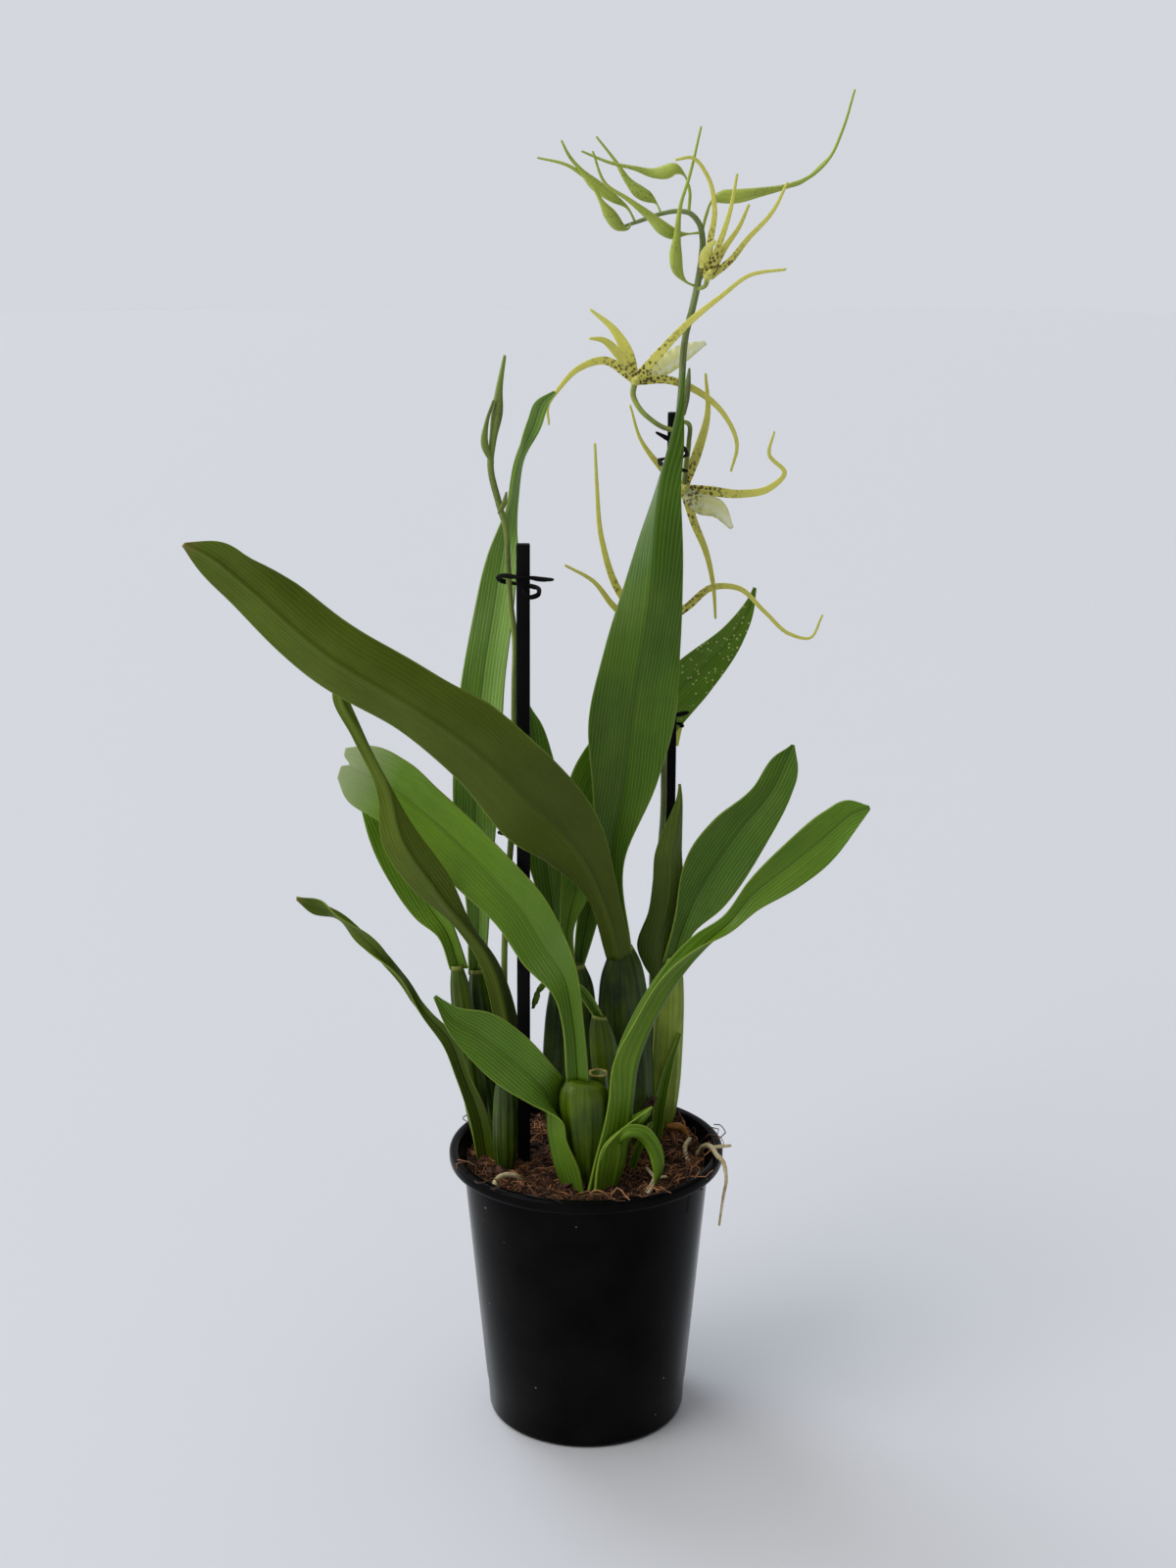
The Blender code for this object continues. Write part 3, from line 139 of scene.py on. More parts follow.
# A leaf is a row of stations from foot to tip: the middle of the blade, the step from there to
# one margin (the other margin is opposite), and how far the midrib sinks out of that line.
LEAVES = {
    "leaf_left_arch": (
        ((15, 12, 227), (-5.2, 1, -2), 3.0), ((8, 8, 255), (-7, 1.5, -1.5), 3.5),
        ((-5, -3, 283.5), (-11.5, 3.5, -11), 4.0), ((-26.5, -19, 310.5), (-10.6, 5, -19.5), 5.0),
        ((-49, -33, 337), (-9, 5, -15), 4.5), ((-73, -44, 357), (-7.5, 4, -12), 3.5),
        ((-110, -59, 384), (-8, 3, -11.3), 3.0), ((-140.5, -72, 414.8), (-5.5, 2, -9), 2.5),
        ((-154, -81, 428), (-4.5, 1.3, -5.5), 1.2), ((-162.6, -85, 432.9), (-0.6, 0.2, -0.6), 0.0)),
    "leaf_tall_front": (
        ((17, 17.8, 227.8), (3.7, 0, 0), 1.5), ((12, 19, 268), (5.7, 0, 0), 3.0),
        ((18, 20, 306), (15, 0, 0), 5.0), ((21, 21, 335), (19.9, -1, 1), 4.0),
        ((26, 22, 370), (17.3, 0, 0), -5.0), ((32, 24, 406), (12, -3, 0), -9.0),
        ((35, 26, 427), (8.4, -4.5, 0), -8.0), ((38, 27, 445), (5.2, -4.5, 0), -7.0),
        ((41, 29, 462), (3, -3, 0), -5.0), ((42.5, 31, 477), (1.6, -1.5, 0), -2.0),
        ((44, 31, 494), (0.6, 0, 0), -0.3)),
    "leaf_right_folded": (
        ((35, 23, 212), (3, 0.5, 1.2), -1.0), ((33.5, 23.5, 219), (6.5, 1, 2), -2.0),
        ((33.2, 24, 228), (9, 1, 2.5), -2.5), ((37.1, 25, 243), (7.4, 1.5, 0.3), -3.0),
        ((38.6, 25, 257), (7.2, 2, 0), -3.0), ((38.7, 24, 271), (6.5, 2, -0.6), -3.0),
        ((41, 22.5, 284), (4.2, 1.5, -0.9), -2.0), ((43.4, 22, 297), (1.6, 0.5, 0), -0.8),
        ((44, 22, 305), (0.4, 0.3, 0), 0.0)),
    "leaf_right_broad": (
        ((42, 21, 221), (4.6, 0, 1.0), 1.5), ((46, 20, 235), (4.2, 0, -3.2), 2.5),
        ((55, 20, 255), (9.5, -1, -9.4), 4.0), ((71, 17, 282), (11.9, -1, -6.4), 3.5),
        ((86, 15, 303), (8.6, -1, -1.9), 2.5), ((92, 13, 318), (5.4, -1, -2.1), 1.0),
        ((95, 12, 326), (0.8, 0, 0), 0.0)),
    "leaf_far_right": (
        ((0, -30, 124), (0, -8, 0), 7.0), ((4.3, -30, 141.5), (-0.6, -8, -0.5), 10.5),
        ((7.3, -30, 154.6), (-0.6, -8, -0.4), 11.3), ((10.5, -30, 171), (-0.6, -7.5, -0.5), 9.5),
        ((13.5, -29, 189.5), (-0.5, -5, 0), 9.0), ((20.5, -28, 205.5), (0, -4.6, 0), 7.6),
        ((34, -26, 228.5), (0.3, -4.2, -0.5), 7.0), ((50, -23, 243), (1, -3.4, -1.5), 5.0),
        ((64, -21.5, 251), (1.6, -1.5, -3.2), 2.4), ((76, -20, 264), (2.3, 0, -6.7), 2.0),
        ((93, -20, 278), (3.5, 0, -10.1), 2.5), ((109, -20, 292), (2.5, 0, -11), 2.0),
        ((120, -20, 302), (1.5, 0, -6.4), 1.0), ((127, -20, 305), (0.3, 0, -0.8), 0.0)),
    "leaf_front_apical": (
        ((-4, -29, 180), (4.9, 0, 0), 2.0), ((-6, -28, 205), (4.7, 0, 0), 3.0),
        ((-10, -26, 225), (5.6, 0.5, 5.5), 3.5), ((-20, -18, 239), (8.5, 0.5, 8.5), 3.5),
        ((-30, -13, 254), (10, 0, 8), 5.0), ((-48, -5, 271), (8.9, 0, 10.3), 5.5),
        ((-72, 4, 292), (5, 0, 14.5), 5.0), ((-89, 9, 305), (6.9, -1, 14.3), 3.5),
        ((-107, 13, 314), (5.4, -1, 11.9), 1.5), ((-113, 15, 317), (2.2, 0, 7.2), 0.5)),
    "leaf_front_basal": (
        ((-1.2, -29.5, 124), (-0.7, 8.5, 0), 6.3), ((-3.8, -29.5, 136.5), (-1.1, 8.5, 0.5), 8.5),
        ((-8.2, -29, 152.5), (0.2, 9, 1.5), 7.5), ((-9.7, -30, 167), (0.8, 9, 4.5), 7.0),
        ((-20, -35, 178), (5.6, 3.5, 7.2), 3.0), ((-35, -32, 190), (6.7, 2, 10.6), 2.5),
        ((-49, -28, 200), (4.9, 2, 9.9), 2.0), ((-60, -26, 206), (2.2, 1.5, 5.6), 1.0),
        ((-69, -24, 217), (0.6, 0, 0.6), 0.0)),
    "leaf_left_twisted": (
        ((-47, -1, 122.5), (4.2, -0.5, 0.3), 1.5), ((-51, -1, 148), (4.4, 0, 0.5), 2.0),
        ((-58, -2, 169), (3.3, 0, 0.5), 2.0), ((-64, -3, 187), (3, 0, 2), 1.5),
        ((-74, -4, 200), (1.6, 0, 1.7), 1.0), ((-85, -4, 219), (0.5, 4.5, -0.9), 1.0),
        ((-103, -6, 238.5), (3.3, -1.5, 1.8), 1.0), ((-115, -6, 249), (0.9, -4, 1.8), 1.0),
        ((-124, -6, 254), (1.7, 0, 3.3), 0.8), ((-133, -6, 258), (0, 0, 0.7), 0.0)),
    "leaf_left_folded": (
        ((-32, 8, 122.5), (-3.2, -0.5, 0), 1.5), ((-33, 8, 150), (-3.4, -0.5, 0), 2.0),
        ((-38, 7, 194), (-5.5, -2, 0.8), 2.5), ((-46, 5, 224), (-4.5, -2, 1.4), 2.5),
        ((-57, 0, 243), (-4.2, -2, 1.1), 2.5), ((-71, -12, 268), (-8.8, -2, -1.7), 4.0),
        ((-84, -20, 292), (-7.6, -1.5, -2.1), 4.0), ((-90, -24, 315), (-2.8, -2, 0.1), 2.0),
        ((-100, -28, 339), (-2.6, -1.5, 0.4), 1.5), ((-107, -30, 357), (-3.6, -0.5, 0.8), 1.0),
        ((-108, -33, 368), (-1, 0, 0), 0.0)),
    "leaf_left_behind": (
        ((-61, 13, 220), (3.9, 0, 0.5), 1.5), ((-66, 14, 235), (3.9, 0, 1.7), 2.0),
        ((-74, 17, 246), (6.3, 0, 5.3), 2.5), ((-86, 22, 267), (9.3, 0, 4.6), 3.0),
        ((-94, 27, 287), (9.6, 0, 4.8), 3.0), ((-100, 31, 299), (6.8, 0, 3.6), 2.0),
        ((-106, 33, 310), (0.9, 0, 0.5), 0.0)),
    "leaf_tall_back": (
        ((-52, 21, 215), (3.7, 0, 0.5), 1.5), ((-51, 22, 241), (5.1, 0, 0.5), 2.5),
        ((-52, 24, 286), (9.7, 0, 0.5), 3.5), ((-51, 25, 314), (11, 0, 0.5), 3.5),
        ((-48, 26, 351), (10, 0, 0.5), 3.0), ((-42, 27, 389), (8.8, 0, 1), 2.5),
        ((-38, 28, 413), (6.7, 0.5, 1), 2.0), ((-33, 28, 435), (1.9, 4, 0.2), 1.0),
        ((-30, 28, 452), (1.7, 4, 1.3), 1.0), ((-23, 28, 471), (3.2, 1, -1), 1.0),
        ((-19, 28, 481), (2.6, 1, -0.7), 0.6), ((-14, 28, 485), (0.5, 0, -0.4), 0.0)),
    "leaf_right_back": (
        ((-8, 13.5, 219.2), (2.5, 0, 0.2), 0.8), ((-9, 15, 236), (3, 0, 0.5), 1.5),
        ((-4, 19, 257), (7.6, 0, -1.7), 2.5), ((0, 25, 281), (11.1, 0, -4.3), 3.0),
        ((6, 33, 303), (12, 0, -6.2), 3.0), ((18, 43, 317), (11.2, 0, -9.6), 3.0),
        ((36, 54, 334), (9.2, 0, -8.9), 2.5), ((54, 62, 350), (6, 0, -8.4), 2.0),
        ((71, 69, 367), (3.8, 0, -4.8), 1.2), ((79, 73, 381), (1.7, 0, -2.4), 0.5),
        ((81, 74, 389), (0.6, 0, -0.3), 0.0)),
    "leaf_mid_back": (
        ((-10.5, 18, 219), (2.5, 0, 0), 0.8), ((-16, 22, 244), (3.7, 0, 1.2), 2.0),
        ((-19, 26, 268), (8.3, 0, 1.9), 3.0), ((-21, 27, 296), (9.2, 0, 1.2), 3.0),
        ((-23, 28, 318), (6.9, 0, 0.5), 2.0), ((-25, 28, 332), (4.1, 0, 0.5), 1.0),
        ((-27, 28, 341), (0.8, 0, 0), 0.0)),
    "leaf_short_back": (
        ((-3, 21, 219), (2.3, 0, 0.5), 0.8), ((1, 25, 239), (4.7, 0, -0.7), 2.0),
        ((6, 30, 259), (5.6, 0, -1.2), 1.5), ((6, 33, 272), (3, 0, -0.5), 1.0),
        ((7, 34, 282), (0.6, 0, 0), 0.0)),
    "leaf_small_growth": (
        ((4.5, -5, 202), (2.1, 0, -0.6), 1.0), ((-3, -4, 213), (1.8, 0, 1), 0.8),
        ((-12, -2, 218), (0.5, 0, 1.4), 0.4), ((-21, 1, 213), (0.5, 0, 1.5), 0.3),
        ((-25, 2, 202), (0.5, 0, 0.2), 0.0)),
    "bract_curled": (
        ((3, -32, 124), (0, -7.5, 0), 8.0), ((6.5, -33, 143), (-0.4, -6.5, -0.5), 8.7),
        ((12, -36, 155), (0, -4, -0.6), 4.6), ((20, -38, 158), (0.5, -2, 3.4), 2.4),
        ((26, -38.5, 156.5), (1.6, -1.4, 3.8), 1.5), ((31, -39, 150), (3.0, -1, 1.8), 1.2),
        ((33, -40, 140), (2.4, 0, 0.5), 0.6), ((32, -40, 132), (0.6, 0, 0.1), 0.0)),
    "bract_tall": (
        ((33, 16, 122.5), (2.8, 0, 0), 1.0), ((37.5, 16, 157), (2.2, 0, 0), 1.0),
        ((41, 16.5, 171), (1.4, 0, 0), 0.5), ((45, 17, 183), (0.5, 0, 0), 0.0)),
    "bract_sliver": (
        ((20.5, -11, 122.5), (1.2, 0, -0.5), 0.4), ((26, -11, 140), (1.4, 0, -1), 0.4),
        ((31, -10, 149), (0.4, 0, -0.3), 0.0)),
    "husk_brown": (
        ((28.3, 7.9, 145), (1.8, 0, 2), 0.6), ((30.4, 8.6, 150), (1.5, 0.8, -1.8), 0.8),
        ((33.4, 8.0, 153.5), (0.4, 1, 0.8), 0.0)),
}

# Sheath of the front growth, whose pointed tip stands free on the right
FRONT_SHEATH = (
    ((3.6, -31, 124), (0, -8.2, 0), 8.5), ((5, -31.5, 140), (-0.5, -8.4, 0), 11.0),
    ((9.5, -32, 151.5), (-1.2, -7.6, -1), 9.0), ((19.5, -34.5, 160.5), (-0.9, -4.2, -0.2), 4.0),
    ((25, -36, 165), (-0.4, -2, 0), 1.8), ((29.8, -37, 169), (0, -0.4, 0), 0.0))

# Rods are rows of x, y, z and radius
SPIKE_TALL = (
    (30, 31.5, 124, 1.7), (31.5, 33.5, 170, 1.7), (33, 36, 240, 1.6), (36.7, 36.8, 290, 1.5),
    (36.8, 38.2, 312, 1.5), (38, 41, 350, 1.5), (40, 44.3, 412, 1.5), (41.1, 46.6, 452, 1.5),
    (43.5, 48, 484, 1.6), (45.4, 47, 510, 1.6), (48.3, 46, 522, 1.6), (50.3, 45, 532, 1.6),
    (51.9, 44, 544, 1.5), (52.2, 44, 551, 1.4), (50.3, 43, 558.5, 1.3), (46.5, 43, 562.5, 1.2),
    (40.2, 43, 563.5, 1.1), (34, 43, 562.5, 1.0), (23.2, 43, 559, 0.9), (17, 43, 557, 0.7))
SPIKE_TALL_BRACTS = (
    ((44.6, 47.0, 474, 1.2), (45.6, 45.8, 481, 1.7), (46.4, 45.8, 488, 1.4), (47, 46.0, 494, 0.6)),
    ((50.4, 44.9, 533, 1.0), (52.2, 44.4, 536, 1.2), (52.9, 44.2, 539.5, 0.5)),
)
SPIKE_YOUNG = (
    (-38, 15, 124, 1.6), (-38.5, 13.5, 180, 1.6), (-38.3, 13, 231, 1.5), (-36.7, 12.5, 258, 1.5),
    (-34.6, 11.5, 284, 1.5), (-32.6, 9.3, 354, 1.4), (-32.2, 8.8, 377, 1.4),
    (-34, 8, 393, 1.4), (-35, 7, 413, 1.3), (-35.6, 6, 426, 1.3), (-38.7, 6, 438, 1.5),
    (-42.2, 6, 455, 1.5), (-41, 6, 466, 1.7), (-39, 6, 478, 2.6), (-38, 6, 488, 1.6),
    (-35.5, 6, 502, 0.7))
SPIKE_YOUNG_BUDS = (
    ((-41.5, 5.5, 456, 1.0), (-44.6, 3.5, 464, 1.8), (-43.5, 3, 474, 1.0), (-40.5, 3, 483, 0.6)),
    ((-38.6, 5.5, 434, 0.8), (-36.4, 4, 438, 1.3), (-35.2, 3, 443, 0.5)),
)
BUDS = {
    "bud_1": ((46.6, 41.6, 565.6, 0.9), (45.9, 42, 573, 0.9), (43.1, 42, 579.5, 0.9),
              (39.1, 41, 581.4, 2.4), (35.4, 41, 580.2, 2.8), (30.4, 41, 579.7, 2.0),
              (21.7, 40, 581.8, 1.3), (10.4, 40, 584.3, 0.9), (-1.7, 40, 589, 0.6)),
    "bud_2": ((32.9, 45, 564.4, 0.8), (31.1, 46, 567.2, 0.8), (28.1, 47, 569.3, 2.1),
              (23.7, 48, 571.8, 2.6), (19.3, 49, 576, 1.6), (13.2, 50, 585, 1.0),
              (4.8, 50, 595.4, 0.6)),
    "bud_3": ((21, 44.8, 561.4, 0.7), (18.4, 44.6, 565, 0.8), (11.8, 44, 569.3, 1.9),
              (3.8, 44, 575, 2.3), (-2.6, 43, 581.4, 1.3), (-7.8, 43, 587.7, 0.9),
              (-10.8, 43, 593.5, 0.6)),
    "bud_4": ((20.4, 40.7, 556.3, 0.7), (18.3, 39, 555.8, 0.8), (14.8, 38, 557, 2.1),
              (10.5, 37, 562, 2.5), (6.5, 36, 568, 1.3), (3.5, 36, 573.3, 0.9),
              (0, 36, 577, 0.6)),
    "bud_5": ((49.6, 41, 553.6, 0.8), (44.1, 39.6, 553.6, 0.9), (39.2, 38.4, 553.6, 2.2),
              (34.4, 36, 555.8, 2.7), (28.7, 35, 560.8, 1.9), (18.2, 34, 568.7, 1.3),
              (8.7, 33, 575, 0.9), (3, 33, 588.6, 0.6)),
    "bud_6": ((47.3, 43.2, 530.8, 0.8), (44.2, 40, 533.4, 0.9), (40.9, 38, 537.9, 2.2),
              (39.8, 36, 544, 2.6), (40.2, 34, 552, 1.6), (41.7, 34, 565.8, 1.1),
              (45.6, 35.5, 578.4, 0.9), (50.5, 37, 599.2, 0.6)),
    "bud_7": ((53.9, 46, 555.6, 0.8), (54, 46.4, 562.5, 0.9), (56, 46, 567.4, 0.9),
              (60, 46, 569.6, 2.4), (67, 46, 570.1, 2.8), (77.5, 47, 571.8, 1.9),
              (89.7, 47, 574.4, 1.4), (99.1, 46, 578.1, 1.1), (107.6, 45, 585.7, 0.9),
              (113.6, 44, 598.6, 0.8), (118.2, 43, 615, 0.6)),
}
BUD_HEAD = 1.4                  # radius past which a bud's row belongs to its head
BUD_SWELL = 1.18                # of the head
BUD_SLIM = 0.85                 # of the stalk and tail
BUD_SECOND_TAILS = {
    "bud_3": ((0, 43.6, 578, 1.0), (-7.8, 43.4, 583, 0.8), (-21.3, 43, 586.4, 0.5)),
    "bud_7": ((86, 47, 573.6, 1.0), (95.1, 49, 575.6, 0.9), (108.9, 50, 587.1, 0.5)),
}

# Flowers: centre, pedicel, five tepals and the lip. Tepal and lip rows end in half widths.
BLOOM_BODY = 2.9                # radius of the swollen middle
BLOOMS = {
    "bloom_top": dict(
        centre=(54.6, 39, 536.4),
        pedicel=((53.2, 41.8, 528.4, 0.9), (53.6, 40.6, 531.5, 1.1), (54.4, 39.2, 535, 1.3)),
        tepals=(
            ((54.4, 38.5, 537, 2), (55, 37, 549, 1.6), (56.9, 36, 563.7, 1.2),
             (53.6, 35, 578.3, 0.9), (46.5, 34, 586.2, 0.8), (39.6, 33, 585.3, 0.6)),
            ((55.4, 38, 538, 1.8), (58.8, 36, 548, 1.5), (63.7, 34, 563.7, 1), (66.5, 34, 579, 0.6)),
            ((56, 39.5, 537, 1.8), (62.1, 40, 548, 1.4), (68.1, 40, 556.6, 1), (72.3, 40, 566, 0.6)),
            ((56, 40.5, 535.5, 1.8), (64.5, 41, 542.1, 1.5), (71.8, 42, 551, 1.2),
             (83.4, 42, 563.8, 0.9), (89.2, 41, 575.5, 0.6))),
        lip=((54, 37.5, 537, 1.8), (52.4, 35, 542, 2.1), (53.6, 33, 547, 1.5), (57, 31, 551, 0.6))),
    "bloom_upper": dict(
        centre=(22.4, 48, 489),
        pedicel=((39.9, 47.2, 466.6, 1.2), (35.1, 47.2, 467.8, 1.2), (29.6, 47, 471.3, 1.2),
                 (24.2, 47, 476.6, 1.3), (21.5, 48, 482.7, 1.4), (22.3, 48, 488, 1.5)),
        tepals=(
            ((23.4, 47.4, 490, 2.2), (34.2, 43, 502.4, 2.0), (46.4, 41, 515.1, 1.6),
             (60.2, 39, 526.3, 1.1), (73.1, 37, 535.8, 0.9), (88.7, 36, 538.4, 0.6)),
            ((21.4, 47.2, 489.6, 2.0), (8.5, 45, 497.9, 1.9), (-4, 42, 494.1, 1.4),
             (-12, 40, 486, 1.0), (-17.3, 39, 477.7, 0.7), (-16.9, 39, 469.8, 0.5)),
            ((22, 48.8, 490, 2.4), (18.8, 51, 501, 2.8), (12.1, 53, 511.9, 1.7), (2.2, 55, 520, 0.6)),
            ((21, 47, 490, 2.0), (14.2, 43, 501.5, 2.2), (7.5, 41, 507.3, 1.4), (1.8, 40, 508, 0.6)),
            ((23.6, 48.8, 488.6, 2.0), (38.2, 53, 488.6, 1.9), (51.8, 54, 483.2, 1.6),
             (63.3, 55, 473.3, 1.2), (69.9, 55, 458.4, 0.9), (67.4, 55, 447.1, 0.6))),
        lip=((23.9, 49.0, 489.8, 2.1), (34.6, 55, 494.6, 3.6), (44.6, 58, 500.7, 3.4),
             (55, 60, 505.4, 0.7))),
    "bloom_middle": dict(
        centre=(45.8, 62, 437.7),
        pedicel=((45, 48.6, 470.5, 1.0), (47, 51.8, 469, 1.1), (47.8, 59, 460, 1.2),
                 (46.7, 62, 448.7, 1.3), (45.9, 62, 439, 1.4)),
        tepals=(
            ((46, 62.6, 439, 2.2), (52.2, 63, 455.4, 2.3), (56.4, 61, 472.8, 1.4),
             (55.2, 60, 490.8, 0.6)),
            ((46.8, 61.8, 437.7, 2.2), (57.8, 61, 436.9, 2.4), (71.5, 59, 435.8, 2.0),
             (85.5, 57, 438.7, 1.6), (92.3, 56, 445.8, 1.1), (85, 56, 454.4, 0.9),
             (87.1, 56, 464.7, 0.5)),
            ((46, 62.6, 436.5, 2.0), (51.2, 63, 421, 1.9), (56.4, 62, 408.6, 1.5),
             (60.4, 62, 390.9, 1.0), (61.5, 62, 376.5, 0.6)),
            ((44.8, 62.6, 438.4, 2.0), (33.4, 62, 449.6, 1.5), (25.5, 60, 460.7, 0.9),
             (20.4, 58, 476.6, 0.5)),
            ((44.8, 63, 436.6, 2.0), (36, 63, 423.3, 1.5), (32.3, 61, 408.7, 0.7))),
        lip=((46.6, 60.8, 437, 2.4), (52.7, 58, 431.8, 4.0), (60.9, 57, 429.6, 3.6),
             (68.3, 56, 420.5, 0.7))),
    "bloom_lower": dict(
        centre=(32.6, 62, 372),
        pedicel=((36.8, 43.9, 401.5, 1.0), (31.9, 48.4, 396, 1.1), (30.6, 56, 386.5, 1.2),
                 (32, 61.6, 376.7, 1.4), (32.5, 62, 373, 1.5)),
        tepals=(
            ((31.6, 62, 373, 2.0), (17.6, 60, 386.5, 1.9), (7.3, 58, 414.7, 1.3),
             (5, 57, 440.1, 0.9), (4.1, 56, 459.2, 0.6)),
            ((31.6, 61.6, 372, 2.0), (14.8, 58, 381.2, 1.6), (2.7, 56, 395.6, 1.0),
             (-9.7, 55, 402.7, 0.6)),
            ((33.6, 62, 372.4, 2.0), (47.4, 60, 381.8, 1.9), (60, 56, 392.3, 1.6),
             (71.6, 56, 391.8, 1.3), (84.4, 57, 380.4, 1.0), (96.7, 57, 369.6, 0.9),
             (106, 57, 367.7, 0.7), (111.8, 57, 378.6, 0.5)),
            ((33, 62.8, 371, 2.0), (42.4, 67, 347.2, 1.8), (45, 68, 327.6, 2.2),
             (44.2, 67, 313.2, 0.7)),
            ((32.8, 62.8, 373, 2.0), (34.9, 65, 392.7, 1.6), (36.1, 64, 409.2, 0.6))),
        lip=((33.2, 61.2, 371, 2.2), (39, 58.4, 366.5, 3.6), (42.6, 57.4, 360, 0.8))),
}

# Twisted wire ties: routes of the tape
TIE_HALF_WIDTH = 1.15
TIE_THICKNESS = 1.3
TIE_TWIST = 5 * pi
TIES = {
    "tie_short_top": (
        (-15.2, -3.4, 405.3), (-19.9, -3, 405.4), (-24.7, -2.6, 406), (-30.5, -2.6, 406.3),
        (-36.2, -0.6, 406.6), (-39.2, 5, 405.1), (-37.6, 11, 402.4), (-31.8, 12.2, 401),
        (-24.2, 8, 400.4), (-21, 1, 400), (-21.6, -3.4, 398.3), (-25.2, -4.2, 397.6),
        (-27.6, -4.6, 400.4)),
    "tie_tall_top": (
        (32.7, 43, 465.4), (38.6, 43.4, 462.2), (44.6, 46, 458.4), (46.6, 53, 454.5),
        (42, 57.4, 452.4), (36, 56, 452.4), (33.6, 50, 451.8), (36.4, 43.6, 450.5),
        (42.3, 43.2, 449), (46, 46, 448)),
    "tie_tall_mid": (
        (47.4, 36.6, 336), (41.4, 36.2, 334.7), (35, 36.4, 333.5), (33, 42, 331.3),
        (35.4, 49, 329), (40.5, 50, 328), (44.8, 48, 327.8), (45.4, 43.6, 327.8)),
    "tie_short_low": (
        (-24.5, -3.8, 285.4), (-30.4, -3.9, 286.8), (-36.4, -2, 287.8), (-39.6, 5, 286.7),
        (-38, 14, 283.4), (-32.5, 15, 281.7), (-25.5, 10, 281.1), (-23.4, 2, 282)),
}

# Aerial roots in the mix and over the rim; the second and later rows are side branches
ROOTS = {
    "root_front_left": (((-29, -24, 124, 1.2), (-33, -25, 129, 1.3), (-38.5, -28, 130.5, 1.4),
                         (-42, -34, 129.5, 1.3), (-39.5, -40, 124, 1.1)),),
    "root_front_right": (((32, -15, 125, 1.4), (33, -22, 129, 1.4), (31, -32, 128.5, 1.4),
                          (26, -45, 126, 1.2)),
                         ((32, -27, 129, 1.0), (28.5, -20, 130.5, 0.7)),
                         ((32, -27, 129, 1.0), (37, -26, 129, 0.7))),
    "root_right": (((50, 16.5, 129, 1.2), (47.5, 9, 128.5, 1.3), (48.5, -3, 125.5, 1.0)),),
    "root_orange": (((40.6, 20, 134.5, 1.6), (45.5, 21.5, 133.5, 1.8), (49, 22, 129, 1.5),
                     (50.5, 20.5, 124.5, 1.2)),),
    "root_over_rim": (((52.5, 6, 125, 1.2), (56.5, 0, 133, 1.3), (59.4, -9, 135.9, 1.3),
                       (61, -17, 136.0, 1.2), (64, -24, 134.9, 1.1), (65.2, -25.6, 129, 0.9),
                       (63.9, -25.6, 118, 0.7), (62.4, -24.6, 104, 0.6)),
                      ((59.4, -9, 135.9, 0.9), (63, -8, 136.2, 1.0), (68, -8, 136.6, 0.7))),
}
LEAF_STUB = ((9, -17, 122.5, 2.6), (7.6, -17.6, 145, 3.4), (6.2, -18.6, 162, 3.4),
             (5.6, -19.2, 177.6, 3.3))
STUB_CUT = ((0.9, 0.94), (0.4, 0.72), (-0.8, 0.4), (-1.0, 0.0))     # rise past the end, radius
STUB_SWELL = 1.35
STUB_RIPPLE = (5, 0.04)         # how many, how high
STUB_STEPS = 30

BULB_OUTLINE = (                # share of the height, share of the full width
    (0.00, 0.40), (0.09, 0.48), (0.20, 0.78), (0.34, 0.96), (0.50, 1.00),
    (0.66, 0.98), (0.80, 0.90), (0.92, 0.72), (1.00, 0.44))
FRONT_OUTLINE = (               # the front growth keeps wide shoulders up to its leaf ring
    (0.00, 0.34), (0.12, 0.46), (0.30, 0.66), (0.50, 0.83), (0.70, 0.95),
    (0.82, 0.98), (0.89, 0.95), (0.95, 0.84), (0.985, 0.68), (1.00, 0.50))
BULB_RIDGES = ((9, 0.6, 0.048), (23, 0.0, 0.014))   # how many, where they start, how deep
BULB_CAP = 0.6                  # share of the width where the flat top is rounded off
CAP_MARK = 1.04                 # pattern place of the flat top, past the ring at 1
BULB_ROWS = 90
BULB_STEPS = 84
FRESH_BULBS = ("bulb_front", "bulb_small", "bulb_far_left", "bulb_right")
BULB_SKINS = {"bulb_front": "young_growth_skin", "bulb_right": "sheathed_pseudobulb_skin"}

# Age and material slot of the leaves that are not ordinary mature ones
LEAF_AGES = {
    "leaf_left_arch": ("old", "leaf_dark"), "leaf_right_folded": ("old", "leaf_dark"),
    "leaf_left_folded": ("old", "leaf_dark"), "leaf_left_twisted": ("old", "leaf_dark"),
    "leaf_front_apical": ("young", "leaf_fresh"), "leaf_far_right": ("fresh", "leaf_fresh"),
    "leaf_small_growth": ("mature", "bract_pale"), "bract_curled": ("fresh", "leaf_fresh"),
    "bract_tall": ("fresh", "bract_pale"), "bract_sliver": ("fresh", "leaf_fresh"),
    "husk_brown": ("husk", "husk_brown"), "leaf_right_back": ("speckled", "leaf_green"),
    "leaf_tall_back": ("waxy", "leaf_green"), "leaf_left_behind": ("fresh", "leaf_green"),
}
LEAF_SIDES = {                  # skins of the upper and the under face, by age
    "mature": ("mature_leaf_cuticle", "mature_leaf_underside"),
    "old": ("old_leaf_cuticle", "old_leaf_underside"),
    "speckled": ("speckled_leaf_cuticle", "mature_leaf_underside"),
    "fresh": ("fresh_leaf_cuticle", "fresh_leaf_underside"),
    "young": ("young_leaf_cuticle", "young_leaf_underside"),
    "waxy": ("waxy_leaf_cuticle", "fresh_leaf_underside"),
    "husk": ("brown_husk_face", "brown_husk_back"),
}
